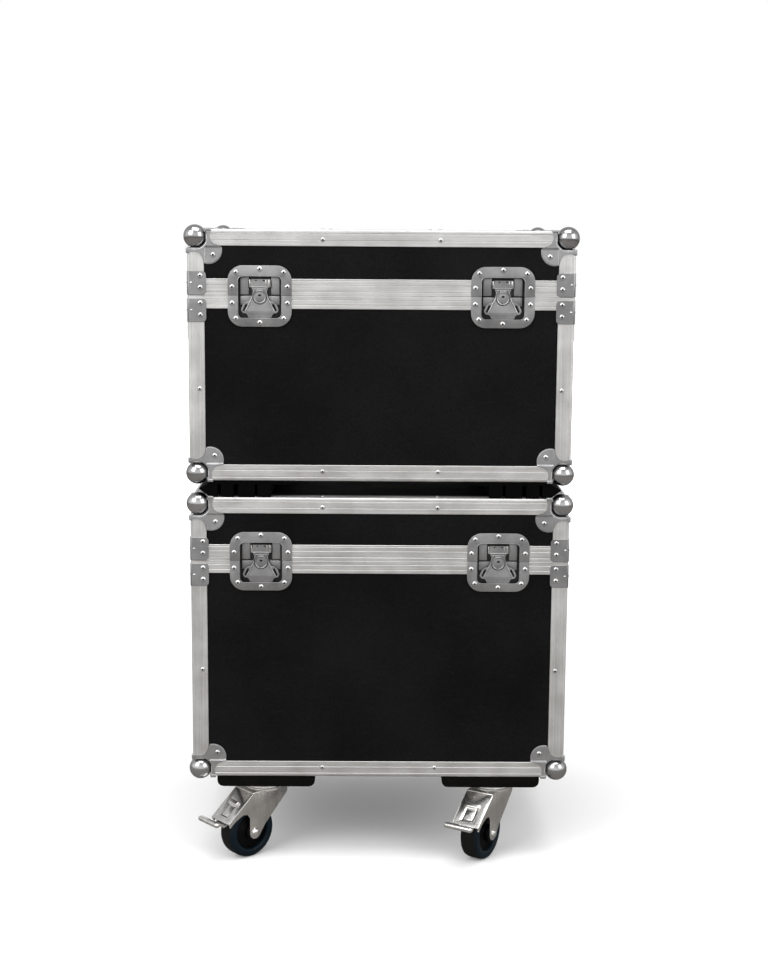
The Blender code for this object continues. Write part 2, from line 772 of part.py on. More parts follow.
def castor_fork():
    crown_top = castor_height - mount_plate[2] - race_height - fit_gap
    crown_low = crown_top - crown_height
    leg_top = crown_low - crown_wall / 2
    disc = cylinder((0, 0, crown_low - crown_wall / 2), (0, 0, crown_top), crown_radius, 20,
                    crown_radius * 0.9)
    tuck = leg_wall / 8
    crown = box((-crown_back + tuck, -leg_outer + tuck, crown_low - crown_wall),
                (slope_top - tuck, leg_outer - tuck, crown_low))
    end_u, end_z = slope_end
    eye = 0.0135
    outline = [(-crown_back, leg_top), (-crown_back, leg_top - 0.012), (0.019, 0.061)]
    outline += arc((trail, wheel_radius), eye, 200, 360, 6)
    outline += [(trail + eye, 0.079), (trail + eye + 0.004, 0.0875), (0.069, 0.0895),
                (0.082, 0.0835), (end_u - 0.002, end_z - 0.009), (end_u, end_z),
                (slope_top, leg_top)]
    legs = []
    for sign in (-1, 1):
        legs.append(upright(sheet(outline, leg_wall), sign * (leg_inner + leg_wall / 2)))
    span = Vector((end_u - slope_top, 0, end_z - leg_top))
    tilt = math.atan2(-span.z, span.x)
    slope = box((-tuck, -leg_outer - tuck, -slope_wall + tuck),
                (span.length - tuck, leg_outer + tuck, tuck))
    moved(slope, Matrix.Translation((slope_top, 0, leg_top)) @ Matrix.Rotation(tilt, 4, "Y"))
    axle = cylinder((trail, -leg_outer - 0.001, wheel_radius), (trail, leg_outer + 0.001, wheel_radius),
                    axle_radius, 12)
    heads = [cylinder((trail, sign * (leg_outer - 0.001), wheel_radius),
                      (trail, sign * (leg_outer + bolt_height), wheel_radius), bolt_radius, 12)
             for sign in (-1, 1)]
    return join(crown, disc, *legs, slope, axle, *heads)


def castor_wheel():
    # A tyre on a hub with a plain bore, turned about Z and laid on its axle. Its
    # facets' flats are a wheel radius from the axle, and one of them faces the floor.
    bore = axle_radius + bore_clearance
    tread = wheel_radius / math.cos(math.pi / tyre_facets)
    shoulder = tread - 0.0015
    web_half = tyre_half_width - 0.005
    upper = [(bore, hub_half_width), (hub_radius, hub_half_width), (hub_radius + 0.001, web_half),
             (rim_radius, web_half), (rim_radius + 0.002, tyre_half_width),
             (shoulder, tyre_half_width * 0.8), (tread, tyre_half_width * 0.35)]
    profile = upper + [(radius, -z) for radius, z in reversed(upper)]
    half_facet = Matrix.Rotation(math.pi / tyre_facets, 4, "Z")
    wheel = turned(profile, tyre_facets)
    return moved(wheel, Matrix.Rotation(math.pi / 2, 4, "X") @ half_facet)


def brake_pedal():
    # A bent plate on a pin, with a cross bar for the foot, about the pin.
    pivot_u, pivot_z = pedal_pivot
    tee_u, tee_z = tee
    half = pedal_wall / 2
    knee_u, knee_z = slope_end[0] + 0.001, slope_end[1] - 0.0075
    line = [(-0.003, 0.0012), (knee_u - pivot_u, knee_z - pivot_z), (tee_u - pivot_u, tee_z - pivot_z)]
    outline = [(u, z + half) for u, z in line] + [(u, z - half) for u, z in reversed(line)]
    lever = upright(sheet(outline, 2 * pedal_half_width), 0)
    reach = leg_inner - fit_gap
    pin = cylinder((0, -reach, 0), (0, reach, 0), pedal_pin_radius, 10)
    wide, tall = tee_size
    bar = box((tee_u - pivot_u - wide / 2, -tee_half_length, tee_z - pivot_z - tall / 2),
              (tee_u - pivot_u + wide / 2, tee_half_length, tee_z - pivot_z + tall / 2),
              0.0022, lambda a, b: abs(a.y - b.y) > tee_half_length, 2)
    return join(lever, pin, bar)


# The two cases


def build_case(level, bottom, base_height, parent):
    # One case: base half, lid half, latches, side handles and hinges.
    split = bottom + base_height
    top = split + fit_gap + lid_height
    origin = parent.matrix_world.translation if parent else Vector((0, 0, 0))
    offset = Vector((0, 0, bottom)) - origin
    finish(f"{level}_base_panels", panel_shell(base_height, base_web, pocket_drop, True),
           laminate, offset, parent=parent)
    finish(f"{level}_base_frame",
           shaded_smooth(edge_frame(base_height, base_web, base_rim_height, pocket_drop, False)),
           aluminium, offset, parent=parent)

    pin = Vector((0, half_y + hinge_axis_out, split + fit_gap / 2))
    lid_axis = axis_empty(f"{level}_lid_axis", pin - origin, parent)
    over = (0, math.pi, 0)
    lid_place = Vector((0, 0, top)) - pin
    finish(f"{level}_lid_panels", panel_shell(lid_height, lid_web, pocket_rise, False),
           laminate, lid_place, over, lid_axis)
    finish(f"{level}_lid_frame",
           shaded_smooth(edge_frame(lid_height, lid_web, lid_rim_height, pocket_rise, True)),
           aluminium, lid_place, over, lid_axis)

    for side, word in ((-1, "left"), (1, "right")):
        name = f"{level}_{word}"
        face = Vector((side * latch_x, -half_y, split))
        finish(f"{name}_latch_dish", base_dish(), zinc, face - origin, parent=parent)
        finish(f"{name}_latch_keeper", keeper_dish(), zinc, face - pin, parent=lid_axis)
        centre = face - Vector((0, 0, boss_drop))
        boss = finish(f"{name}_latch_boss", shaded_smooth(latch_boss()), zinc,
                      centre - origin, parent=parent)
        wing_place = (0, wing_front + wing_thickness / 2 - plate_front, wing_axis_rise)
        finish(f"{name}_latch_wing", shaded_smooth(latch_wing()), zinc, wing_place, parent=boss)
        finish(f"{name}_latch_claw", latch_claw(), zinc, centre - origin, parent=parent)

        turn = (0, 0, side * math.pi / 2)
        handle = Vector((side * half_x, 0, bottom + base_height * handle_rise))
        finish(f"{name}_handle_dish", handle_dish(), zinc, handle - origin, turn, parent)
        bail_at = handle + Vector((-side * bail_depth, 0, bail_axis_rise))
        finish(f"{name}_handle_bail", shaded_smooth(handle_bail(), 50), steel,
               bail_at - origin, turn, parent)

        hinge_at = pin + Vector((side * hinge_x, 0, 0))
        finish(f"{name}_hinge_leaf", shaded_smooth(base_hinge_leaf()), steel,
               hinge_at - origin, parent=parent)


build_case("lower", lower_bottom, lower_base_height, None)

lift = axis_empty("upper_case_lift", (0, 0, upper_bottom))
bpy.context.view_layer.update()
build_case("upper", upper_bottom, upper_base_height, lift)
for side, word in ((-1, "left"), (1, "right")):
    finish(f"{word}_stacking_runner", stacking_runner(side), rubber, (0, 0, 0), parent=lift)

for side, word in ((-1, "left"), (1, "right")):
    finish(f"{word}_castor_board", castor_board(side), laminate,
           (0, 0, lower_bottom - fit_gap - board_thickness))

castor_y = half_y - castor_setback
for end, end_word in ((-1, "front"), (1, "rear")):
    for side, word in ((-1, "left"), (1, "right")):
        name = f"{end_word}_{word}_castor"
        at = (side * castor_x, end * castor_y, 0)
        # The rear pair trails backward at the front pair's angles.
        trail_turn = castor_turns[0] if side < 0 else castor_turns[1]
        heading = end * math.radians(90 + trail_turn)
        finish(f"{name}_plate", shaded_smooth(castor_plate()), steel, at)
        fork = finish(f"{name}_fork", shaded_smooth(castor_fork()), steel, at, (0, 0, heading))
        finish(f"{name}_wheel", shaded_smooth(castor_wheel()), tyre_rubber,
               (trail, 0, wheel_radius), parent=fork)
        finish(f"{name}_pedal", brake_pedal(), steel,
               (pedal_pivot[0], 0, pedal_pivot[1]), parent=fork)
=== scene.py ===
# Looks of two stacked road cases on castors: finishes, edging, latches, handles and castors.
# Metres, +Z up, front at -Y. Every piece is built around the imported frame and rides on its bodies.
import json
import math

import bmesh
import bpy
import numpy as np
from mathutils import Matrix, Vector

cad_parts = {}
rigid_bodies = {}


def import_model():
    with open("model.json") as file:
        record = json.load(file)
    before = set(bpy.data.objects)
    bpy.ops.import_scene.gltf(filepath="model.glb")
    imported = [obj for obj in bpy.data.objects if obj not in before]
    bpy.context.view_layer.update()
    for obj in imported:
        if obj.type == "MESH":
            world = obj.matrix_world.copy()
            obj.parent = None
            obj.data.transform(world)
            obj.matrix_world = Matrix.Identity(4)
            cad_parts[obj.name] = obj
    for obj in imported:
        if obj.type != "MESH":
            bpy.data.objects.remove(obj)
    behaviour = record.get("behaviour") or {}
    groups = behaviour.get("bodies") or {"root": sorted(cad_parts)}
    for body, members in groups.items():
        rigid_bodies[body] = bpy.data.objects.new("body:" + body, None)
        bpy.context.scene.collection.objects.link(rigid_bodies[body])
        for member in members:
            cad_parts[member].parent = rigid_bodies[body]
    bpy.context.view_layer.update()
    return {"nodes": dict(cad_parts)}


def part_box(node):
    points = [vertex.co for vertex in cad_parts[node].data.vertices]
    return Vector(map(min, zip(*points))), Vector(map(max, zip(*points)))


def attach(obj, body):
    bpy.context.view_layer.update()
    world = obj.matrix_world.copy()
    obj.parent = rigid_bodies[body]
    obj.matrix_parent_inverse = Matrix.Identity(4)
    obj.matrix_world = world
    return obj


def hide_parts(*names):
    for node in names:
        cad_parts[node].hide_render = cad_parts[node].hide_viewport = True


for leftover in list(bpy.data.objects):
    bpy.data.objects.remove(leftover)

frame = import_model()
print("frame loaded:", len(frame["nodes"]), "nodes")


class Socket:
    # One output socket that Python sums can use; numbers are allowed on either side.
    def __init__(self, tree, output):
        self.tree, self.output = tree, output

    def sum(self, operation, other, flipped=False):
        node = self.tree.nodes.new("ShaderNodeMath")
        node.operation = operation
        for slot, value in zip(node.inputs, (other, self) if flipped else (self, other)):
            if isinstance(value, Socket):
                self.tree.links.new(value.output, slot)
            else:
                slot.default_value = value
        return Socket(self.tree, node.outputs[0])

    def __add__(self, other):
        return self.sum("ADD", other)

    def __radd__(self, other):
        return self.sum("ADD", other, True)

    def __sub__(self, other):
        return self.sum("SUBTRACT", other)

    def __rsub__(self, other):
        return self.sum("SUBTRACT", other, True)

    def __mul__(self, other):
        return self.sum("MULTIPLY", other)

    def __rmul__(self, other):
        return self.sum("MULTIPLY", other, True)


class Wiring:
    # A node tree being wired: add() makes any node from its settings and its sockets' values.
    def __init__(self, tree):
        self.tree = tree

    def add(self, kind, settings=None, output=0, **inputs):
        node = self.tree.nodes.new(kind)
        for name, value in (settings or {}).items():
            setattr(node, name, value)
        for name, value in inputs.items():
            slot = int(name[2:]) if name.startswith("at") else name.replace("_", " ")
            self.feed(node.inputs[slot], value)
        return Socket(self.tree, node.outputs[output])

    def feed(self, slot, value):
        if isinstance(value, Socket):
            self.tree.links.new(value.output, slot)
        else:
            slot.default_value = value

    def place(self, source="Object", stretch=(1, 1, 1)):
        # Where a point lies: Object coordinates or the piece's own UV, stretched for streaks.
        where = self.add("ShaderNodeTexCoord", output=source)
        return self.add("ShaderNodeMapping", Vector=where, Scale=stretch)

    def noise(self, where, scale, detail=3.0, rough=0.5):
        return self.add("ShaderNodeTexNoise", Vector=where, Scale=scale, Detail=detail, Roughness=rough)

    def ramp(self, value, low, high, start=0.0, end=1.0):
        # A number that goes from start to end as value goes from low to high.
        return self.add("ShaderNodeMapRange", {"interpolation_type": "SMOOTHSTEP"}, Value=value,
                        From_Min=low, From_Max=high, To_Min=start, To_Max=end)

    def tint(self, mask, first, second):
        settings = {"data_type": "RGBA"}
        return self.add("ShaderNodeMix", settings, 2, at0=mask, at6=(*first, 1), at7=(*second, 1))


class Finish(Wiring):
    # A material whose Principled BSDF is fed by its wiring, and the part's material slot it shows.
    def __init__(self, name, slot):
        self.material = bpy.data.materials.new(name)
        self.material.use_nodes = True
        super().__init__(self.material.node_tree)
        self.shader = self.tree.nodes["Principled BSDF"]
        self.slot = slot

    def set(self, **inputs):
        for name, value in inputs.items():
            self.feed(self.shader.inputs[name.replace("_", " ")], value)

    def bump(self, height, strength, distance):
        self.set(Normal=self.add("ShaderNodeBump", Height=height, Strength=strength, Distance=distance))


laminateLook = {"name": "blackLaminate", "slot": "black_laminate", "dark": (0.0016, 0.0016, 0.0017),
                "light": (0.0066, 0.0066, 0.0069), "grainScale": 520.0, "roughness": (0.42, 0.60),
                "specular": 0.085, "bump": 0.45, "bumpDistance": 0.00025}


def laminateFinish(look):
    # Embossed phenolic film: pebbled grain, a few pale specks and long faint scuffs.
    made = Finish(look["name"], look["slot"])
    where = made.place()
    grain = made.noise(where, look["grainScale"], 3.0, 0.6)
    pebbles = made.add("ShaderNodeTexVoronoi", {"feature": "SMOOTH_F1"}, Vector=where,
                       Scale=look["grainScale"] * 0.9)
    patches = made.noise(where, 5.0, 4.0)
    scuffs = made.ramp(made.noise(made.place(stretch=(6, 6, 60)), 4.0, 5.0), 0.60, 0.74)
    mask = made.ramp(grain * 0.7 + patches * 0.5, 0.42, 0.80) + scuffs * 0.35
    made.set(Base_Color=made.tint(mask, look["dark"], look["light"]), Specular_IOR_Level=look["specular"],
             Roughness=made.ramp(patches + scuffs * 0.2, 0.3, 0.8, *look["roughness"]))
    made.bump(pebbles + grain * 0.5, look["bump"], look["bumpDistance"])
    return made


metalLooks = {
    "aluminium": {"name": "brushedAluminium", "slot": "edge_aluminium", "streaks": True,
                  "dark": (0.50, 0.495, 0.485), "light": (0.74, 0.74, 0.735),
                  "metallic": 0.86, "roughness": (0.34, 0.52), "bump": 0.16, "bumpDistance": 0.00012},
    "zinc": {"name": "satinZinc", "slot": "zinc_plate",
             "dark": (0.235, 0.235, 0.240), "light": (0.385, 0.385, 0.390),
             "metallic": 0.90, "roughness": (0.36, 0.50), "bump": 0.10, "bumpDistance": 0.0001},
    "brace": {"name": "braceSteel", "slot": "edge_aluminium",
              "dark": (0.33, 0.33, 0.338), "light": (0.47, 0.47, 0.478),
              "metallic": 0.90, "roughness": (0.32, 0.46), "bump": 0.08, "bumpDistance": 0.0001},
    "ball": {"name": "polishedBall", "slot": "bright_steel",
             "dark": (0.34, 0.34, 0.345), "light": (0.52, 0.52, 0.525),
             "metallic": 1.0, "roughness": (0.14, 0.24), "bump": 0.04, "bumpDistance": 0.0001},
    # pan: zinc painted near black, as painted shade inside the latch and handle recesses
    "pan": {"name": "latchPanPaintedShade", "slot": "zinc_plate",
            "dark": (0.020, 0.020, 0.021), "light": (0.070, 0.070, 0.072),
            "metallic": 0.85, "roughness": (0.40, 0.56), "bump": 0.12, "bumpDistance": 0.0001},
    "rivet": {"name": "rivetHead", "slot": "edge_aluminium",
              "dark": (0.46, 0.46, 0.46), "light": (0.68, 0.68, 0.68),
              "metallic": 0.92, "roughness": (0.26, 0.38), "bump": 0.05, "bumpDistance": 0.0001},
    # castor: stretched noise paints vertical streaks into the colour, painted reflection bands at random
    # places
    "castor": {"name": "brightZinc", "slot": "bright_steel", "paintedReflectionStreaks": (95, 95, 12),
               "dark": (0.58, 0.572, 0.556), "light": (0.95, 0.94, 0.92),
               "metallic": 0.97, "roughness": (0.16, 0.30), "bump": 0.06, "bumpDistance": 0.0001},
}


def metalFinish(look):
    # Metal with cloudy patches and fine specks; streaks follow the piece's own UV, in metres.
    made = Finish(look["name"], look["slot"])
    clouds = made.noise(made.place(), 26.0, 5.0, 0.55)
    specks = made.noise(made.place(), 900.0, 2.0)
    paintedReflectionStreaks = look.get("paintedReflectionStreaks")
    if look.get("streaks"):
        fine = made.noise(made.place("UV", (5, 1400, 1)), 1.0, 4.0, 0.6)
        broad = made.noise(made.place("UV", (2.2, 260, 1)), 1.0, 3.0, 0.6)
        wear = made.ramp(made.noise(made.place("UV", (45, 420, 1)), 1.0, 5.0, 0.62), 0.60, 0.70)
        height = fine * 0.8 + broad * 0.6 - wear * 0.35
        mask = made.ramp(fine * 0.35 + broad * 0.55 + clouds * 0.30 - wear * 0.25, 0.40, 0.80)
        rough = fine * 0.5 + clouds * 0.5
    else:
        smudges = made.noise(made.place(), 9.0, 4.0)
        height = specks * 0.5 + clouds * 0.8
        # Stretched noise paints vertical streaks into the colour: painted reflection bands.
        if paintedReflectionStreaks:
            clouds = clouds * 0.4 + made.noise(made.place(stretch=paintedReflectionStreaks), 1.0, 4.0, 0.6) * 0.6
        mask = made.ramp(clouds * 0.6 + specks * 0.25 + smudges * 0.3, 0.38, 0.80)
        rough = smudges * 0.6 + specks * 0.4
    made.set(Base_Color=made.tint(mask, look["dark"], look["light"]), Metallic=look["metallic"],
             Roughness=made.ramp(rough, 0.3, 0.7, *look["roughness"]))
    made.bump(height, look["bump"], look["bumpDistance"])
    return made


softLooks = {
    "rubber": {"name": "mouldedRubber", "slot": "black_rubber",
               "dark": (0.0008, 0.0008, 0.0008), "light": (0.0024, 0.0024, 0.0024),
               "roughness": (0.55, 0.75), "scale": 700.0, "specular": 0.03},
    "tyre": {"name": "blueBlackTyre", "slot": "tyre_rubber",
             "dark": (0.0018, 0.0058, 0.0105), "light": (0.0046, 0.0135, 0.0215),
             "roughness": (0.34, 0.50), "scale": 420.0, "specular": 0.16},
    "tread": {"name": "greyTread", "slot": "tyre_rubber",
              "dark": (0.0040, 0.0046, 0.0042), "light": (0.0105, 0.0116, 0.0108),
              "roughness": (0.50, 0.66), "scale": 520.0, "specular": 0.15},
    "hub": {"name": "wheelHub", "slot": "tyre_rubber",
            "dark": (0.0010, 0.0010, 0.0012), "light": (0.0030, 0.0030, 0.0034),
            "roughness": (0.38, 0.55), "scale": 600.0, "specular": 0.10},
    # hole: near black, painted shade for the hollows of rivets, holes and slots
    "hole": {"name": "paintedHoleShade", "slot": "edge_aluminium",
             "dark": (0.004, 0.004, 0.004), "light": (0.018, 0.018, 0.018),
             "roughness": (0.6, 0.8), "scale": 900.0, "specular": 0.15},
    "board": {"name": "castorBoard", "slot": "black_laminate",
              "dark": (0.0012, 0.0012, 0.0010), "light": (0.0044, 0.0042, 0.0036),
              "roughness": (0.50, 0.72), "scale": 240.0, "specular": 0.07},
}


def softFinish(look):
    # Moulded rubber and plastic: fine grain, dusty patches and a little bump.
    made = Finish(look["name"], look["slot"])
    grain = made.noise(made.place(), look["scale"], 3.0, 0.6)
    dust = made.noise(made.place(), 14.0, 4.0)
    mask = made.ramp(grain * 0.5 + dust * 0.6, 0.35, 0.80)
    made.set(Base_Color=made.tint(mask, look["dark"], look["light"]), Specular_IOR_Level=look["specular"],
             Roughness=made.ramp(dust, 0.3, 0.7, *look["roughness"]))
    made.bump(grain, 0.25, 0.0002)
    return made


finishes = {"laminate": laminateFinish(laminateLook)}
finishes.update({key: metalFinish(look) for key, look in metalLooks.items()})
finishes.update({key: softFinish(look) for key, look in softLooks.items()})
print("finishes wired:", len(finishes))


class Shape:
    # Points, faces grouped by corner count, and a UV in metres for each face corner.
    def __init__(self, points, faces, uvs, finish="zinc"):
        self.points, self.faces, self.uvs, self.finish = np.asarray(points, float), faces, uvs, finish

    def mapped(self, function):
        return Shape(function(self.points), self.faces, self.uvs, self.finish)

    def moved(self, matrix):
        return self.mapped(lambda p: p @ np.array(matrix.to_3x3()).T + np.array(matrix.translation))

    def scaled(self, factors, offset=(0, 0, 0)):
        return self.mapped(lambda p: p * factors + offset)


def grid(points, wrapRows=False, finish="zinc", caps=True):
    # A surface over an array of rows and columns of points; its quads join neighbours, and
    # flat caps close the first and last rows. The UV is the length along and across it.
    rows, cols = points.shape[:2]
    r, c = np.indices((rows if wrapRows else rows - 1, cols)).reshape(2, -1)
    r2, c2 = (r + 1) % rows, (c + 1) % cols
    quads = np.stack([r * cols + c, r * cols + c2, r2 * cols + c2, r2 * cols + c], -1)
    steps = np.linalg.norm(np.diff(points, axis=0, append=points[:1]), axis=2).mean(1)
    along = np.concatenate([[0], np.cumsum(steps)])
    steps = np.linalg.norm(np.diff(points, axis=1, append=points[:, :1]), axis=2).mean(0)
    across = np.concatenate([[0], np.cumsum(steps)])
    u = np.stack([along[r], along[r], along[r + 1], along[r + 1]], -1)
    v = np.stack([across[c], across[c + 1], across[c + 1], across[c]], -1)
    faces, uvs = [quads], [np.stack([u, v], -1)]
    if caps and not wrapRows:
        ends = np.stack([np.arange(cols)[::-1], (rows - 1) * cols + np.arange(cols)])
        flat = points.reshape(-1, 3)[ends]
        faces.append(ends)
        uvs.append(np.stack([flat[..., 0], flat[..., 1] + flat[..., 2]], -1))
    return Shape(points.reshape(-1, 3), faces, uvs, finish)


def arcPoints(centre, radius, start, end, steps):
    # Points at equal angles, in degrees, round a centre.
    angles = np.radians(np.linspace(start, end, steps + 1))
    return np.stack([centre[0] + radius * np.cos(angles), centre[1] + radius * np.sin(angles)], -1)


def roundedOutline(corners, steps=6):
    # A polygon whose corners, given as x, y, radius, become arcs tangent to both sides.
    points = []
    for i, (x, y, radius) in enumerate(corners):
        here = np.array((x, y), float)
        if radius <= 0:
            points.append(here)
            continue
        before = np.array(corners[i - 1][:2], float) - here
        after = np.array(corners[(i + 1) % len(corners)][:2], float) - here
        before /= np.linalg.norm(before)
        after /= np.linalg.norm(after)
        half = math.acos(np.clip(before @ after, -1, 1)) / 2
        middle = (before + after) / np.linalg.norm(before + after)
        centre = here + middle * radius / math.sin(half)
        first = here + before * radius / math.tan(half) - centre
        sweep = math.pi - 2 * half
        if first[0] * after[1] - first[1] * after[0] < 0:
            sweep = -sweep
        for t in np.linspace(0, sweep, steps + 1):
            points.append(centre + np.array((first[0] * math.cos(t) - first[1] * math.sin(t),
                                             first[0] * math.sin(t) + first[1] * math.cos(t))))
    return np.array(points)


def plate(loops, thickness, bevel=0.0004, finish="zinc", rounds=1):
    # A flat sheet in the XY plane, centred on z = 0, from an outline and its holes, edges bevelled.
    curve = bpy.data.curves.new("outline", "CURVE")
    curve.dimensions, curve.fill_mode = "2D", "BOTH"
    curve.extrude, curve.bevel_depth = thickness / 2 - bevel, bevel
    curve.offset, curve.bevel_resolution = -bevel, rounds
    for loop in loops:
        spline = curve.splines.new("POLY")
        spline.points.add(len(loop) - 1)
        rows = np.hstack([loop, np.zeros((len(loop), 1)), np.ones((len(loop), 1))])
        spline.points.foreach_set("co", rows.ravel())
        spline.use_cyclic_u = True
    holder = bpy.data.objects.new("outline", curve)
    bpy.context.scene.collection.objects.link(holder)
    mesh = bpy.data.meshes.new_from_object(holder.evaluated_get(bpy.context.evaluated_depsgraph_get()))
    points = np.zeros(len(mesh.vertices) * 3)
    mesh.vertices.foreach_get("co", points)
    points = points.reshape(-1, 3)
    faces = [np.array([polygon.vertices[:]]) for polygon in mesh.polygons]
    bpy.data.objects.remove(holder)
    bpy.data.meshes.remove(mesh)
    bpy.data.curves.remove(curve)
    return Shape(points, faces, [points[f][..., :2] for f in faces], finish)


def revolve(profile, segments=24, finish="zinc", ring=False):
    # A profile of radius, height turned about Z; a radius of 0 closes a pole, and a ring's
    # profile is a closed loop.
    profile = np.asarray(profile, float)
    angles = np.arange(segments) * 2 * math.pi / segments
    circle = np.stack([np.cos(angles), np.sin(angles)], -1)
    points = np.concatenate([profile[:, None, :1] * circle[None], np.broadcast_to(
        profile[:, None, 1:], (len(profile), segments, 1))], -1)
    return grid(points, ring, finish, False)


def tube(path, radius, sides=10, finish="zinc", closed=False):
    # A round bar along a path: each ring lies square to the path, radius may vary along it.
    path = np.asarray(path, float)
    ahead = np.roll(path, -1, 0) - path if closed else np.gradient(path, axis=0)
    if closed:
        ahead = ahead + path - np.roll(path, 1, 0)
    ahead /= np.linalg.norm(ahead, axis=1)[:, None]
    normal = np.zeros_like(path)
    seed = np.array((0.0, 0.0, 1.0)) if abs(ahead[0][2]) < 0.9 else np.array((1.0, 0.0, 0.0))
    for i, direction in enumerate(ahead):
        seed = seed - direction * (seed @ direction)
        seed /= np.linalg.norm(seed)
        normal[i] = seed
    side = np.cross(ahead, normal)
    angles = np.arange(sides) * 2 * math.pi / sides
    radii = np.broadcast_to(np.asarray(radius, float), (len(path),))[:, None, None]
    points = path[:, None] + radii * (np.cos(angles)[None, :, None] * normal[:, None]
                                      + np.sin(angles)[None, :, None] * side[:, None])
    return grid(points, closed, finish)


def roundedBox(low, high, radius, steps=3, finish="zinc"):
    # A block with rounded edges: a sphere's directions pushed out to eight corner centres. The
    # two corners may be given either way round on any axis.
    low, high = np.sort(np.array((low, high), float), axis=0)
    middle, half = (low + high) / 2, (high - low) / 2
    turns = np.concatenate([np.linspace(q, q + 90, steps + 1) for q in (0, 90, 180, 270)])
    rise = np.concatenate([np.linspace(-90, 0, steps + 1), np.linspace(0, 90, steps + 1)])
    quarter = np.repeat(np.array([(1, 1), (-1, 1), (-1, -1), (1, -1)]), steps + 1, 0)
    level = np.repeat(np.array([-1, 1]), steps + 1)
    turns, rise = np.radians(turns), np.radians(rise)
    shape = (len(rise), len(turns))
    ball = np.stack([np.cos(rise)[:, None] * np.cos(turns), np.cos(rise)[:, None] * np.sin(turns),
                     np.broadcast_to(np.sin(rise)[:, None], shape)], -1)
    centres = np.concatenate([np.broadcast_to(quarter[None], (*shape, 2)),
                              np.broadcast_to(level[:, None, None], (*shape, 1))], -1)
    return grid(middle + centres * (half - radius) + ball * radius, finish=finish)


def prism(outline, low, high, finish="zinc"):
    # A 2D outline carried straight up from low to high.
    rings = [np.column_stack([outline, np.full(len(outline), z)]) for z in (low, high)]
    return grid(np.stack(rings), finish=finish)


def upright(shape, depth=0.0):
    # Stand a flat shape up: its y becomes z, and its z becomes depth into the case, +Y.
    return shape.mapped(lambda p: np.stack([p[:, 0], depth - p[:, 2], p[:, 1]], -1))


def at(x, y, z):
    return Matrix.Translation((x, y, z))


def turn(angle, axis):
    return Matrix.Rotation(math.radians(angle), 4, axis)


quadrants = ((-1, -1), (-1, 1), (1, -1), (1, 1))


def addPiece(name, body, shapes, sharp=32, replaces=(), place=None):
    # Joins shapes into one mesh object that rides on a body; each shape keeps its finish.
    if place:
        shapes = [shape.moved(place) for shape in shapes]
    names = list(dict.fromkeys(shape.finish for shape in shapes))
    points = np.concatenate([shape.points for shape in shapes])
    starts = np.cumsum([0] + [len(shape.points) for shape in shapes])
    corners, sizes, uvs, indices = [], [], [], []
    for shape, start in zip(shapes, starts):
        for group, uv in zip(shape.faces, shape.uvs):
            corners.append((group + start).ravel())
            sizes.append(np.full(len(group), group.shape[1]))
            uvs.append(uv.reshape(-1, 2))
            indices.append(np.full(len(group), names.index(shape.finish)))
    corners, sizes, uvs = np.concatenate(corners), np.concatenate(sizes), np.concatenate(uvs)
    mesh = bpy.data.meshes.new(name)
    mesh.vertices.add(len(points))
    mesh.vertices.foreach_set("co", points.ravel())
    mesh.loops.add(len(corners))
    mesh.loops.foreach_set("vertex_index", corners.astype(np.int32))
    mesh.polygons.add(len(sizes))
    mesh.polygons.foreach_set("loop_start", (np.cumsum(sizes) - sizes).astype(np.int32))
    mesh.polygons.foreach_set("material_index", np.concatenate(indices).astype(np.int32))
    mesh.update(calc_edges=True)
    mesh.uv_layers.new(name="metres").uv.foreach_set("vector", uvs.ravel())
    for key in names:
        mesh.materials.append(finishes[key].material)
    bm = bmesh.new()
    bm.from_mesh(mesh)
    bmesh.ops.remove_doubles(bm, verts=bm.verts, dist=0.000002)
    bmesh.ops.recalc_face_normals(bm, faces=bm.faces)
    bm.to_mesh(mesh)
    bm.free()
    mesh.shade_smooth()
    mesh.set_sharp_from_angle(angle=math.radians(sharp))
    piece = bpy.data.objects.new(name, mesh)
    bpy.context.scene.collection.objects.link(piece)
    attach(piece, body)
    if replaces:
        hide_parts(*replaces)


def dress(node, finish):
    # A CAD node that keeps its shape gets its finish.
    mesh = frame["nodes"][node].data
    mesh.materials.clear()
    mesh.materials.append(finishes[finish].material)


# Sizes that both cases share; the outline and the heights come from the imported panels.
case = {"panelInset": 0.0020, "wall": 0.0017, "edgeWidth": 0.029, "cornerRadius": 0.0035, "baseRim": 0.023,
        "lidRim": 0.029, "rimGap": 0.0033, "lidRimGap": 0.0078, "rimClearance": 0.0003,
        "latchX": 0.2135, "hingeX": 0.200}
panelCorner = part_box("lower_base_panels")[1]
halfX, halfY = panelCorner.x + case["panelInset"], panelCorner.y + case["panelInset"]
levels = {}
for levelName in ("lower", "upper"):
    baseLow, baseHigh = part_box(levelName + "_base_panels")
    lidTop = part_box(levelName + "_lid_panels")[1].z
    levels[levelName] = {"bottom": baseLow.z - case["panelInset"], "split": baseHigh.z + case["rimGap"],
                         "top": lidTop + case["panelInset"]}


def halfFrame(level, half):
    # The closed face's height, the rim's distance from it, and which way the rim lies.
    place = levels[level]
    if half == "base":
        return place["bottom"], place["split"] - place["bottom"], 1
    return place["top"], place["top"] - place["split"] - case["rimClearance"], -1


def intoCorner(shape, sx, sy, start=0.0, up=1):
    # Insets from two sides and height over a closed face become a place in the case.
    return shape.scaled((-sx, -sy, up), (sx * halfX, sy * halfY, start))


edging = {"groove": 0.0008, "grooveDepth": 0.0008, "edgeGrooves": (0.0070, 0.0190),
          "lidGrooves": (0.0065, 0.0180, 0.0260), "baseGrooves": (0.0070, 0.0160), "latchGap": 0.0446,
          "flange": (0.0114, 0.0128), "flangeDrop": 0.014, "tongue": (0.0055, 0.0089), "tongueRise": 0.0038,
          "slot": (0.0043, 0.0101), "endRound": 0.0005, "postRound": 0.0004, "seat": 0.0330}
allCorners = ((1, -1, -90), (1, 1, 0), (-1, 1, 90), (-1, -1, 180))


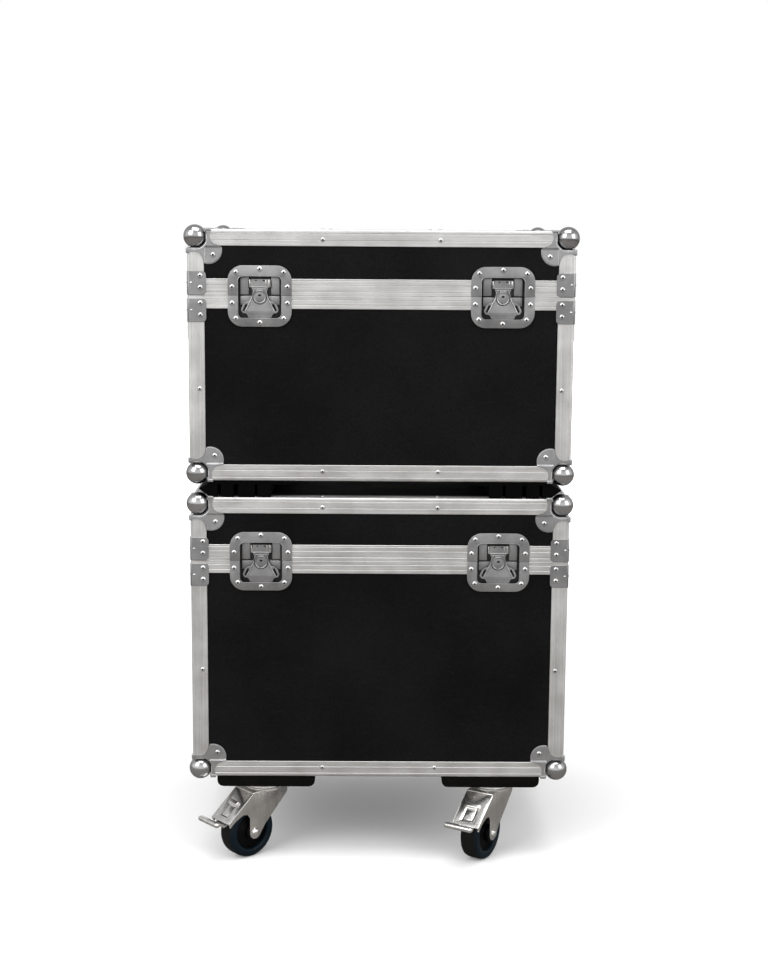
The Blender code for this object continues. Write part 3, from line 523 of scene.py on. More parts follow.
def rimPath(corners, start, end):
    # Rows of x, y, outward x, outward y, corner x, corner y along the case's outline, seen from
    # above; each corner is an arc, and start and end are places on the front face.
    rows = [(start, -halfY, 0, -1, 0, 0)]
    radius = case["cornerRadius"]
    for sx, sy, first in corners:
        for angle in np.radians(np.linspace(first, first + 90, 5)):
            nx, ny = math.cos(angle), math.sin(angle)
            rows.append((sx * (halfX - radius) + radius * nx, sy * (halfY - radius) + radius * ny,
                         nx, ny, sx, sy))
    rows.append((end, -halfY, 0, -1, 0, 0))
    return np.array(rows)


def rimSweep(profile, path):
    # A profile of inset and height carried along the outline. An inset past the corner's radius
    # lies on the mitre line, so the inner corners are square.
    profile = np.asarray(profile, float)
    inset = profile[None, :, 0]
    flat = np.stack([path[:, 0:1] - path[:, 2:3] * inset, path[:, 1:2] - path[:, 3:4] * inset], -1)
    square = np.stack([path[:, 4:5] * (halfX - inset), path[:, 5:6] * (halfY - inset)], -1)
    deep = (inset > case["cornerRadius"]) & (np.abs(path[:, 4:5]) > 0)
    flat = np.where(deep[..., None], square, flat)
    height = np.broadcast_to(profile[None, :, 1], flat.shape[:2])[..., None]
    return grid(np.concatenate([flat, height], -1), finish="aluminium")


def grooved(start, end, grooves):
    # Points down a face with a V cut at each groove.
    points = [(0.0, start)]
    direction = 1 if end > start else -1
    size = edging["groove"] * direction
    for groove in sorted(grooves, reverse=direction < 0):
        points += [(0.0, groove - size), (edging["grooveDepth"], groove), (0.0, groove + size)]
    return points + [(0.0, end)]


def edgeProfile():
    # The L of a long edge: a side leg with grooves, a round corner and the leg over the closed face.
    width, wall, radius, soft = case["edgeWidth"], case["wall"], case["cornerRadius"], edging["endRound"]
    side = grooved(width - soft, radius, edging["edgeGrooves"])
    bend = [tuple(p) for p in arcPoints((radius, radius), radius, 180, 270, 5)[1:-1]]
    face = [(y, x) for x, y in grooved(radius, width - soft, edging["edgeGrooves"])]
    inside = [(width, soft), (width, wall), (wall, wall), (wall, width)]
    return [(soft, width)] + side + bend + face + inside


def flangeProfile(height):
    near, far = edging["flange"]
    low = height - edging["flangeDrop"]
    return [(near, height), (far, height), (far, low), (near, low)]


def rimProfile(height, half):
    # The band round the rim with its web, tongue or slot, and the flange inside the panels.
    wall, soft, rise = case["wall"], edging["endRound"], edging["tongueRise"]
    rim, web = height - case[half + "Rim"], height - case["lidRimGap" if half == "lid" else "rimGap"]
    grooves = [height - groove for groove in edging[half + "Grooves"]]
    outer = [(soft, rim)] + grooved(rim + soft, height - soft, grooves) + [(soft, height)]
    if half == "lid":
        near, far = edging["slot"]
        low = height - rise - 0.001
        top = [(near, height), (near, low), (far, low), (far, height)]
    else:
        near, far = edging["tongue"]
        top = [(near, height), (near + soft, height + rise), (far - soft, height + rise), (far, height)]
    flange = flangeProfile(height)[1:]
    return outer + top + flange + [(flange[-1][0], web), (wall, web), (wall, rim)]


def edgeRuns():
    # The four long extrusions of the closed face; each ends under the corner braces.
    profile = np.array(edgeProfile())
    runs = []
    for sign in (-1, 1):
        for reach, width, alongX in ((halfX, halfY, True), (halfY, halfX, False)):
            ends = np.array([edging["seat"] - reach, reach - edging["seat"]])
            line = np.broadcast_to(ends[:, None], (2, len(profile)))
            deep = np.broadcast_to(sign * (width - profile[None, :, 0]), line.shape)
            rise = np.broadcast_to(profile[None, :, 1], line.shape)
            order = [line, deep, rise] if alongX else [deep, line, rise]
            runs.append(grid(np.stack(order, -1), finish="aluminium"))
    return runs


def postOutline():
    # The plain L of an upright edge, about the case's corner, legs along +x and +y.
    width, wall, radius, soft = case["edgeWidth"], case["wall"], case["cornerRadius"], edging["postRound"]
    bend = arcPoints((radius, radius), radius, 180, 270, 5)
    return np.array([(soft, width), (0, width - soft), *bend, (width - soft, 0), (width, soft),
                     (width, wall), (wall, wall), (wall, width)])


def edgingPiece(level, half):
    # The extrusions of one half: long edges, the rim's band between the latches, and the posts.
    start, height, up = halfFrame(level, half)
    band = rimProfile(height, half)
    latchAt, reach = case["latchX"], edging["latchGap"]
    shapes = edgeRuns() + [rimSweep(band, rimPath(allCorners, latchAt + reach, -latchAt - reach)),
                           rimSweep(band, rimPath((), reach - latchAt, latchAt - reach))]
    for side in (-1, 1):
        behind = rimPath((), side * latchAt - reach, side * latchAt + reach)
        shapes.append(rimSweep(flangeProfile(height), behind))
    post = prism(postOutline(), edging["seat"], height - case[half + "Rim"] - 0.0001, "aluminium")
    shapes += [intoCorner(post, sx, sy) for sx, sy in quadrants]
    shapes = [shape.scaled((1, 1, up), (0, 0, start)) for shape in shapes]
    if half == "lid":
        shapes += lidLeaf(-1, hingeAxis(level)) + lidLeaf(1, hingeAxis(level))
    addPiece(f"{level}{half.capitalize()}Edging", f"{level}_{half}", shapes, 32, [f"{level}_{half}_frame"])


hinge = {"width": 0.070, "middle": 0.0244, "leaf": 0.022, "wall": 0.002, "knuckle": 0.004, "out": 0.0068,
         "pin": 0.002, "pinEnd": 0.0009, "play": 0.0004, "lift": 0.0003, "screws": (-0.024, 0.0, 0.024),
         "screwRise": 0.6, "bore": 0.0024, "webDepth": 0.0065}


def hingeAxis(level):
    return levels[level]["split"] + case["rimClearance"] / 2


def barrel(low, high, radius, finish="castor"):
    # A knuckle: a round bar along X with softened ends.
    soft = 0.0004
    low, high = sorted((low, high))
    profile = [(0, low), (radius - soft, low), (radius, low + soft), (radius, high - soft),
               (radius - soft, high), (0, high)]
    return revolve(profile, 20, finish).moved(turn(90, "Y"))


def leafPlate(side, axis, up):
    # A hinge leaf with three screws in its holes, standing on the rear face.
    half, tall, rise = hinge["width"] / 2, hinge["leaf"], hinge["leaf"] * hinge["screwRise"]
    outline = roundedOutline([(-half, 0.001, 0.0005), (half, 0.001, 0.0005), (half, tall, 0.004),
                              (-half, tall, 0.004)])
    holes = [arcPoints((x, rise), hinge["bore"], 0, 345, 15) for x in hinge["screws"]]
    sheet = upright(plate([outline, *holes], hinge["wall"], 0.0004, "castor")).scaled((1, 1, up))
    centre, back = side * case["hingeX"], halfY + hinge["lift"]
    shapes = [sheet.moved(at(centre, back + hinge["wall"] / 2, axis))]
    for x in hinge["screws"]:
        spot = at(centre + x, back + 0.0003, axis + up * rise) @ faceTurns["rear"]
        shapes.append(rivetHead("castor", 0.0027, 0.0006).moved(spot))
    return shapes


def knuckle(low, high, up):
    # A barrel about the pin and the web that joins it to its leaf.
    radius, depth = hinge["knuckle"], hinge["webDepth"]
    return [barrel(low, high, radius),
            roundedBox((low, -depth, up * 0.0008), (high, 0, up * radius * 0.95), 0.0006, 2, "castor")]


def lidLeaf(side, axis):
    centre = at(side * case["hingeX"], halfY + hinge["out"], axis)
    reach = hinge["middle"] / 2
    return leafPlate(side, axis, 1) + [shape.moved(centre) for shape in knuckle(-reach, reach, 1)]


def hingePiece(level, side, word):
    # The base's leaf with its two outer knuckles and the pin through all three.
    axis = hingeAxis(level)
    outer, inner = hinge["width"] / 2, hinge["middle"] / 2 + hinge["play"]
    centre = at(side * case["hingeX"], halfY + hinge["out"], axis)
    shapes = knuckle(-outer, -inner, -1) + knuckle(inner, outer, -1)
    shapes.append(barrel(-outer - hinge["pinEnd"], outer + hinge["pinEnd"], hinge["pin"]))
    shapes = leafPlate(side, axis, -1) + [shape.moved(centre) for shape in shapes]
    name = f"{level}{word.capitalize()}HingeLeaf"
    addPiece(name, level + "_base", shapes, 32, [f"{level}_{word}_hinge_leaf"])


rivet = {"radius": 0.0047, "height": 0.0021, "hole": 0.0018}
faceTurns = {"front": turn(90, "X"), "rear": turn(-90, "X"), "left": turn(-90, "Y"), "right": turn(90, "Y"),
             "up": Matrix.Identity(4), "down": turn(180, "X")}


def rivetHead(finish, radius, height):
    # A domed blind rivet about +Z: its height falls off as the square of the radius, and the
    # middle is sunk where the mandrel broke off.
    hole = rivet["hole"] * radius / rivet["radius"]
    shares = (0.0, 0.35, 0.6, 0.8, 0.93, 1.0)
    dome = [(hole + (radius - hole) * s, height * (1 - 0.82 * s * s)) for s in shares]
    sunk = [(0, height * 0.35), (hole * 0.8, height * 0.35), (hole, height * 0.9)]
    return revolve(sunk + dome + [(radius, -0.0006), (0, -0.0006)], 16, finish)


def rivetAt(matrix, size=1.0):
    # A rivet's head and a low dome in its middle painted near black, as painted shade in the hollow where the
    # mandrel broke off.
    radius, height, hole = (rivet[key] * size for key in ("radius", "height", "hole"))
    shadeDot = [(0, height * 0.5), (hole * 0.6, height * 0.46), (hole * 0.9, height * 0.36),
           (hole * 0.9, 0), (0, 0)]
    return [rivetHead("rivet", radius, height).moved(matrix), revolve(shadeDot, 10, "hole").moved(matrix)]


def faceFrame(face, a, b, out=0.0):
    # A place on a side face, a along it from the middle and b up, with +Z out of the case.
    spots = {"front": (a, -halfY - out, b), "rear": (a, halfY + out, b),
             "left": (-halfX - out, a, b), "right": (halfX + out, a, b)}
    return at(*spots[face]) @ faceTurns[face]


corner = {"ball": 0.0204, "inset": 0.0127, "clip": 0.0092, "proud": 0.0012, "lobe": (0.037, 0.024),
          "neck": 0.0405, "waist": (0.0125, 0.0395), "step": 0.0018, "fold": 0.0308, "foldWidth": 0.0013,
          "rivet": 0.0450, "lip": (0.0318, 0.0422), "lipReach": 0.0034, "lipProud": 0.0022,
          "dish": ((0.0203, -0.0052), (0.0210, -0.0030), (0.0219, -0.0008), (0.0227, 0.0006)),
          "flat": 0.0236, "edge": -0.0012, "back": 0.0022}


def leafOutline():
    # Half of the brace's outer edge, a and b along the case's edges: the neck at the edge, a
    # hollow arc across the extrusion and a round lobe on the panel, up to the diagonal.
    centre, radius = corner["lobe"]
    lobe = arcPoints((centre, centre), radius, -16, 45, 14)
    end = lobe[0]
    neck = np.array([(corner["inset"] + corner["ball"], -0.0005), (corner["neck"] - 0.0015, -0.0005)])
    waist = np.array((corner["waist"][1], corner["waist"][0]))
    t = np.linspace(0, 1, 15)[1:-1, None]
    pull = np.array((waist[0] + 0.0020, end[1] - 0.0035))
    hollow = (1 - t) ** 2 * waist + 2 * t * (1 - t) * pull + t ** 2 * end
    return np.concatenate([neck, [(corner["neck"], 0.003), waist], hollow, lobe])


def leaf():
    # A ribbon from the ball out to the edge. It rises out of a dished rim round the ball, lies
    # flat, and steps down to the panel where both a and b are past the fold.
    half = leafOutline()
    middle, edge, dish = corner["inset"], corner["edge"], corner["dish"]
    bearing = np.arctan2(half[:, 1] - middle, half[:, 0] - middle)
    bearing = np.maximum.accumulate(np.maximum(bearing, math.asin((edge - middle) / dish[0][0])))

    def mirrored(arc):
        return np.concatenate([arc, arc[:-1][::-1, ::-1]])

    def ring(radius, rise=None):
        arc = mirrored(middle + radius * np.stack([np.cos(bearing), np.sin(bearing)], -1))
        return arc if rise is None else np.column_stack([arc, np.full(len(arc), rise)])

    outer, inner = mirrored(half), ring(corner["flat"])
    share = np.concatenate([np.linspace(0, 0.9, 31), [0.975, 1]])
    flat = inner[:, None] + (outer - inner)[:, None] * share[None, :, None]
    past = np.clip((flat.min(-1) - corner["fold"]) / corner["foldWidth"] + 0.5, 0, 1)
    height = corner["proud"] - corner["step"] * past * past * (3 - 2 * past)
    height = height - np.interp(share, [0, 0.975, 1], [0, 0, 0.00035])
    rows = [ring(*step) for step in dish]
    rows += list(np.concatenate([flat, height[..., None]], -1).swapaxes(0, 1))
    rows.append(np.column_stack([outer, np.full(len(outer), -corner["back"])]))
    rows.append(ring(dish[0][0] + 0.0006, dish[0][1] - 0.001))
    points = np.stack(rows, 1)
    points[..., :2] = np.maximum(points[..., :2], edge)
    return grid(points, finish="brace")


def cornerPlace(sx, sy, start, up, normal):
    # Turns leaf coordinates a, b, out into a corner's face: normal is the face's axis.
    cx, cy = sx * halfX, sy * halfY
    places = {"Z": lambda p: (cx - sx * p[:, 0], cy - sy * p[:, 1], start - up * p[:, 2]),
              "Y": lambda p: (cx - sx * p[:, 0], cy + sy * p[:, 2], start + up * p[:, 1]),
              "X": lambda p: (cx + sx * p[:, 2], cy - sy * p[:, 0], start + up * p[:, 1])}
    return lambda p: np.stack(places[normal](p), -1)


def ballShape():
    # A ball about the inset point, in insets from the three faces. What would reach through the
    # plywood is drawn back, along rays from a point in the corner, to the clip's inset.
    r = corner["ball"]
    angles = np.radians(np.linspace(-90, 90, 41))
    profile = np.stack([r * np.cos(angles), r * np.sin(angles)], -1)
    profile[[0, -1], 0] = 0
    shape = revolve(profile, 64, "ball")
    points = shape.points + corner["inset"]
    middle, clip = 0.004, corner["clip"]
    reach = np.where(points > clip, (clip - middle) / np.maximum(points - middle, 1e-6), 0).max(1)
    deep = (points > clip).all(1)
    points[deep] = middle + (points[deep] - middle) * reach[deep][:, None]
    return Shape(points, shape.faces, shape.uvs, "ball")


def lip(along):
    # A tab rolled over the case's edge, beside the ball; along picks the edge it folds over.
    low, high = corner["lip"]
    proud, reach = corner["lipProud"], corner["lipReach"]
    box = roundedBox((low, -proud, -reach), (high, reach, proud), 0.0014, 4, "brace")
    return box if along == 0 else box.mapped(lambda p: p[:, [1, 0, 2]])


bracket = {"width": 0.0325, "height": 0.0415, "proud": 0.0012, "lift": {"lid": 0.0005, "base": 0.0055},
           "rivetIn": 0.0222, "rivetEnds": {"lid": (0.0080, 0.0125), "base": (0.0125, 0.0080)},
           "corner": 0.007, "mark": 0.0022, "markIn": 0.0062, "soft": 0.0005}


def bracketShape(height, half):
    # A pressed plate wrapped round an upright edge next to the rim, in insets from the corner.
    # Its two free ends are rounded: the height shrinks as a quarter circle does.
    high = height - bracket["lift"][half]
    low = high - bracket["height"]
    width, wall, soft = bracket["width"], bracket["proud"], bracket["soft"]
    bend = arcPoints((case["cornerRadius"],) * 2, case["cornerRadius"] + wall, 180, 270, 6)
    legs = width - bracket["corner"] * (1 - np.sin(np.radians([90, 80, 66, 50, 34, 17, 0])))
    legs = np.stack([np.full(len(legs), -wall), legs], -1)
    centres = np.concatenate([legs, bend, legs[::-1, ::-1]])
    rows = []
    for d, z in ((soft, low), (0, low + soft), (0, high - soft), (soft, high),
                 (wall + 0.0012, high), (wall + 0.0012, low)):
        shift = np.where(centres < 0, centres + d, centres)
        rows.append(np.column_stack([shift, np.full(len(shift), z)]))
    points = np.stack(rows, 1)
    t = np.clip((points[..., :2].max(-1) - (width - bracket["corner"])) / bracket["corner"], 0, 1)
    cut = bracket["corner"] * (1 - np.sqrt(np.clip(1 - t * t, 0, 1)))
    middle = (low + high) / 2
    points[..., 2] = middle + (points[..., 2] - middle) * (1 - cut / (bracket["height"] / 2))
    closed, rim = bracket["rivetEnds"][half]
    return grid(points), (low + closed, high - rim, middle)


def cornerPieces(level, half):
    # The balls, braces and brackets of a half's four corners; returns their rivets.
    start, height, up = halfFrame(level, half)
    braces, balls, rivets = [], [], []
    flat, ball = leaf(), ballShape()
    screw = np.array([[corner["rivet"], corner["rivet"], corner["proud"] - corner["step"]]])
    strip, heights = bracketShape(height, half)
    size = bracket["mark"]
    nib = revolve([(0, 0.0011), (size * 0.7, 0.0008), (size, 0), (0, 0)], 10, "rivet")
    for sx, sy in quadrants:
        faces = {"Z": "down" if up > 0 else "up", "Y": "front" if sy < 0 else "rear",
                 "X": "left" if sx < 0 else "right"}
        place = {normal: cornerPlace(sx, sy, start, up, normal) for normal in "XYZ"}
        balls.append(intoCorner(ball, sx, sy, start, up))
        for normal in "XYZ":
            braces.append(flat.mapped(place[normal]))
            rivets += rivetAt(at(*place[normal](screw)[0]) @ faceTurns[faces[normal]])
        braces += [lip(0).mapped(place["Y"]), lip(0).mapped(place["X"]), lip(1).mapped(place["Y"])]
        braces.append(intoCorner(strip, sx, sy, start, up))

        def onBothFaces(inset, z):
            return [faceFrame(faces["Y"], sx * (halfX - inset), z, bracket["proud"]),
                    faceFrame(faces["X"], sy * (halfY - inset), z, bracket["proud"])]

        for rise in heights[:2]:
            for spot in onBothFaces(bracket["rivetIn"], start + up * rise):
                rivets += rivetAt(spot)
        rivets += [nib.moved(spot) for spot in onBothFaces(bracket["markIn"], start + up * heights[2])]
    name = level + half.capitalize()
    addPiece(name + "Braces", f"{level}_{half}", braces, 40)
    addPiece(name + "Balls", f"{level}_{half}", balls, 60)
    return rivets


edgeRivets = {"along": 0.1030, "inset": 0.0175, "postInset": 0.0195, "size": 0.85}


def rivetPiece(level, half, rivets):
    # The single rivets along the edging, besides those of the corners and brackets.
    start, height, up = halfFrame(level, half)
    along, inset, size = edgeRivets["along"], edgeRivets["inset"], edgeRivets["size"]
    for face, width in (("front", halfX), ("rear", halfX), ("left", halfY), ("right", halfY)):
        for side in (-1, 1):
            rivets += rivetAt(faceFrame(face, side * along, start + up * inset), size)
            if half == "base":
                post = side * (width - edgeRivets["postInset"])
                rivets += rivetAt(faceFrame(face, post, start + height / 2), size)
    closed = faceTurns["down" if up > 0 else "up"]
    for a, b in ((along, halfY - inset), (halfX - inset, along)):
        for sx, sy in quadrants:
            rivets += rivetAt(at(sx * a, sy * b, start) @ closed, size)
    addPiece(f"{level}{half.capitalize()}Rivets", f"{level}_{half}", rivets, 50)


for levelName in levels:
    for halfName in ("base", "lid"):
        edgingPiece(levelName, halfName)
        rivetPiece(levelName, halfName, cornerPieces(levelName, halfName))
        dress(f"{levelName}_{halfName}_panels", "laminate")
    hingePiece(levelName, -1, "left")
    hingePiece(levelName, 1, "right")
print("cases dressed")

latch = {"bossDrop": 0.0026, "front": 0.0018, "sheet": 0.0015, "half": 0.056, "corner": 0.026,
         "window": 0.0380, "windowCorner": 0.0085, "cup": 0.0426, "back": 0.0098, "wall": 0.0012,
         "bead": 0.0008, "lipFront": -0.0010, "ledge": (0.0140, 0.0057, 0.010, 0.022)}
latchHalves = {
    "dish": {"sign": -1, "far": 0.0545, "windowFar": 0.0395, "cupFar": 0.0452, "near": 0.0,
             "panel": (0.0140, 0.0350, 0.0170), "rivets": ((0.0485, -0.0110), (0.0420, -0.0377)),
             "endRivet": -0.0450},
    "keeper": {"sign": 1, "far": 0.0525, "windowFar": 0.0335, "cupFar": 0.0400, "near": 0.0003,
               "panel": (0.0195, 0.0350, 0.0350), "rivets": ((0.0485, 0.0175), (0.0420, 0.0430)),
               "endRivet": 0.0490},
}


def windowPath(half, near, far, radius, steps=7):
    # Down one side of a window, round its two corners and up the other side.
    return np.concatenate([[(half, near)], arcPoints((half - radius, far - radius), radius, 0, 90, steps),
                           arcPoints((radius - half, far - radius), radius, 90, 180, steps), [(-half, near)]])


def latchHalf(part):
    # Half of a recessed latch pan, about the front face at the split. Heights are measured away
    # from the split, down for the base's dish and up for the lid's keeper.
    look = latchHalves[part]
    sign, near, cupFar = look["sign"], look["near"], look["cupFar"]
    wall, back, front, lipFront = latch["wall"], latch["back"], latch["front"], latch["lipFront"]
    reach, window, rounding = latch["cup"] + wall, latch["window"], latch["windowCorner"]
    rim = windowPath(latch["half"], near, look["far"], latch["corner"], 12)
    outline = np.concatenate([rim, windowPath(window, near, look["windowFar"], rounding)[::-1]])
    pan = plate([outline * (1, sign)], latch["sheet"], 0.0006, "zinc", 2)
    shapes = [upright(pan, latch["sheet"] / 2 - front)]
    grow = latch["bead"] * 0.6
    bead = windowPath(window + grow, near + 0.0004, look["windowFar"] + grow, rounding)
    path = np.column_stack([bead[:, 0], np.full(len(bead), 0.0002 - front), sign * bead[:, 1]])
    shapes.append(tube(path, latch["bead"], 8))

    def block(low, high, radius=0.0004, steps=1, finish="pan"):
        shapes.append(roundedBox(np.multiply(low, (1, 1, sign)), np.multiply(high, (1, 1, sign)),
                                 radius, steps, finish))

    # The cup's back and side walls take the near-black pan finish: painted shade inside the recess.
    block((-reach, back, near), (reach, back + wall, cupFar + wall))
    block((-reach, lipFront, cupFar), (reach, back + wall / 2, cupFar + wall))
    inner, outer, rise = look["panel"]
    for side in (-1, 1):
        block((side * latch["cup"], lipFront, near), (side * reach, back + wall / 2, cupFar))
        block((side * inner, back - 0.0030, near + 0.0008), (side * outer, back + 0.0002, rise),
              0.0010, 3, "zinc")
    if part == "keeper":
        wide, ledgeFront, low, high = latch["ledge"]
        block((-wide, ledgeFront, low), (wide, back + 0.0002, high), 0.0006, 2, "zinc")
    spots = [(side * x, z) for x, z in look["rivets"] for side in (-1, 1)] + [(0, look["endRivet"])]
    for x, z in spots:
        shapes += rivetAt(at(x, -front, z - latch["bossDrop"]) @ faceTurns["front"])
    return shapes


boss = {"radius": 0.0118, "rise": 0.0020, "rim": 0.0018, "dish": 0.0016, "back": 0.0024, "shaft": 0.0060,
        "end": 0.0095, "slot": (0.0, 0.0030, 0.0036, 0.0023), "shadeDot": (-0.0014, -0.0085, 0.0010, 0.0010)}
wing = {"axis": (0.0008, 0.0135), "arm": 0.0063, "shoulder": 0.0105, "pin": 0.0015, "hole": 0.0129,
        "sheet": 0.0016, "ridge": 0.0010,
        "side": ((0.0105, 0.0145, 0.001), (0.0126, 0.0080, 0.003), (0.0143, 0.0, 0.006),
                 (0.0180, -0.0070, 0.003), (0.0240, -0.0085, 0.004), (0.0300, -0.0140, 0.005),
                 (0.0334, -0.0230, 0.003), (0.0300, -0.0282, 0.002), (0.0250, -0.0288, 0.0015),
                 (0.0222, -0.0312, 0.002), (0.0202, -0.0362, 0.0015), (0.0100, -0.0376, 0.004)),
        "slot": ((0.0200, -0.0112, 0.0010), (0.0243, -0.0112, 0.0015), (0.0302, -0.0240, 0.0015),
                 (0.0258, -0.0266, 0.0010)),
        "line": ((0.0131, 0.0020), (0.0146, -0.0035), (0.0178, -0.0085), (0.0205, -0.0150), (0.0238, -0.0225),
                 (0.0258, -0.0282))}
claw = {"front": 0.0027, "sheet": 0.0025, "slot": 0.0064, "travel": 0.006, "foldRise": 0.0178,
        "outline": ((0.0188, 0.0170, 0.001), (0.0188, 0.0313, 0.002), (-0.0188, 0.0313, 0.002),
                    (-0.0188, 0.0170, 0.001), (-0.0140, 0.0160, 0.0006), (-0.0140, 0.0128, 0.0006),
                    (-0.0125, 0.0108, 0.001), (-0.0125, -0.0164, 0.002), (0.0125, -0.0164, 0.002),
                    (0.0125, 0.0108, 0.001), (0.0140, 0.0128, 0.0006), (0.0140, 0.0160, 0.0006)),
        "ridges": ((-0.0186, -0.0164, 0.0172, 0.0305), (0.0098, 0.0114, 0.0190, 0.0300),
                   (0.0148, 0.0170, 0.0172, 0.0305)),
        "marks": ((-0.0066, 0.0287, 0.0017, 0.0011), (0.0072, 0.0287, 0.0026, 0.0011))}


def holeShadeMark(x, depth, z, wide, tall, segments, edge):
    # A low oval on a plate's front, painted near black as the shade inside a hole.
    mark = revolve([(0, 0.0003), (0.7, edge), (1, 0), (1, -0.0004), (0, -0.0004)], segments, "hole")
    return mark.scaled((wide, tall, 1)).moved(at(x, depth, z) @ faceTurns["front"])


def bossShapes():
    # A coin with a raised rim and a shallow dome, its shaft and the wing's tab; its key slot and a dot are
    # low ovals painted near black, as painted shade.
    r, rim, dish, rise, shaft = (boss[key] for key in ("radius", "rim", "dish", "rise", "shaft"))
    profile = [(0, dish + 0.0003), (r * 0.35, dish + 0.0002), (r - rim * 1.4, dish - 0.0003),
               (r - rim, rise - 0.0001), (r - rim * 0.45, rise), (r, rise - 0.0009), (r, -boss["back"]),
               (shaft, -boss["back"]), (shaft, -boss["end"]), (0, -boss["end"])]
    shapes = [revolve(profile, 32).moved(faceTurns["front"])]
    for x, z, wide, tall in (boss["slot"], boss["shadeDot"]):
        shapes.append(holeShadeMark(x, -dish, z, wide, tall, 16, 0.0003))
    depth, height = wing["axis"]
    pin = wing["pin"]
    tab = roundedBox((-shaft, depth - pin * 0.9, 0.006), (shaft, depth + pin * 0.9, height), 0.0005, 2)
    return shapes + [tab, barrel(-shaft, shaft, pin, "zinc").moved(at(0, depth, height))]


def wingShapes():
    # A bell of sheet metal round the boss with a finger loop and a raised line on each side.
    arm, top = wing["arm"], wing["side"][0][1]
    opening = math.degrees(math.acos(arm / wing["hole"]))
    inner = arcPoints((0, 0), wing["hole"], 180 - opening, 360 + opening, 22)
    rim = list(wing["side"]) + [(-x, z, r) for x, z, r in reversed(wing["side"])]
    rim += [(-arm, top, 0)] + [(x, z, 0) for x, z in inner] + [(arm, top, 0)]
    slots = [roundedOutline([(side * x, z, r) for x, z, r in wing["slot"]], 3) for side in (-1, 1)]
    depth, rise = wing["axis"]
    shapes = [upright(plate([roundedOutline(rim, 4), *slots], wing["sheet"], 0.0005, "zinc", 2), depth)]
    line = np.array(wing["line"])
    t = np.linspace(0, len(line) - 1, 22)
    line = np.stack([np.interp(t, np.arange(len(line)), line[:, i]) for i in (0, 1)], -1)
    radius = wing["ridge"] * np.interp(t, [0, 0.6, 4.2, 5], [0.45, 1, 1, 0.45])
    for side in (-1, 1):
        path = np.column_stack([side * line[:, 0], np.full(len(line), depth - wing["sheet"] / 2), line[:, 1]])
        # The raised lines take the lighter brace finish, a painted highlight along them.
        shapes.append(tube(path, radius, 8, "brace"))
        pin = barrel(side * arm, side * wing["shoulder"], wing["pin"], "zinc")
        shapes.append(pin.moved(at(0, depth, rise)))
    return shapes


def clawShapes():
    # The sliding claw: a plate with the shaft's slot, upright ridges, a rolled fold and two marks painted
    # near black as the shade in holes.
    radius, front, sheet = claw["slot"], claw["front"], claw["sheet"]
    slot = np.concatenate([arcPoints((0, 0), radius, 0, 180, 12),
                           arcPoints((0, -claw["travel"]), radius, 180, 360, 12)])
    body = plate([roundedOutline(claw["outline"], 3), slot], sheet, 0.0005, "zinc", 2)
    shapes = [upright(body, front + sheet / 2)]
    for left, right, low, high in claw["ridges"]:
        shapes.append(roundedBox((left, 0.0020, low), (right, front + 0.0004, high), 0.0005, 3, "castor"))
    x = np.linspace(-0.0155, 0.0150, 9)
    fold = np.stack([x, np.full(9, front - 0.0001), claw["foldRise"] - 0.0004 * abs(x) / 0.015], -1)
    shapes.append(tube(fold, 0.0007, 8, "castor"))
    return shapes + [holeShadeMark(x, front, z, wide, tall, 10, 0.0002) for x, z, wide, tall in claw["marks"]]


def latchPieces(level, side, word):
    face = at(side * case["latchX"], -halfY, levels[level]["split"])
    centre = face @ at(0, 0, -latch["bossDrop"])
    label, node = f"{level}{word.capitalize()}Latch", f"{level}_{word}_latch_"
    for part, shapes, body, place in (("dish", latchHalf("dish"), level + "_base", face),
                                      ("keeper", latchHalf("keeper"), level + "_lid", face),
                                      ("boss", bossShapes(), node + "boss", centre),
                                      ("wing", wingShapes(), node + "wing", centre),
                                      ("claw", clawShapes(), node + "claw", centre)):
        addPiece(label + part.capitalize(), body, shapes, 40, [node + part], place)


handle = {"rise": 0.60, "plate": (0.080, 0.055, 0.012), "cup": (0.063, 0.039, 0.006), "sheet": 0.0015,
          "middle": 0.00095, "back": 0.0173, "wall": 0.0012, "bead": 0.0012, "cheek": 0.0496,
          "lug": (0.005, 0.0065), "axis": (0.0092, 0.0285), "bore": 0.0043,
          "rivets": (0.0715, 0.0465, 0.0470), "half": 0.045, "drop": 0.052, "bend": 0.012,
          "leg": 0.0040, "grip": 0.0062, "pin": 0.010}


def squareLoop(half, height, radius):
    return roundedOutline([(half, height, radius), (-half, height, radius), (-half, -height, radius),
                           (half, -height, radius)], 8)


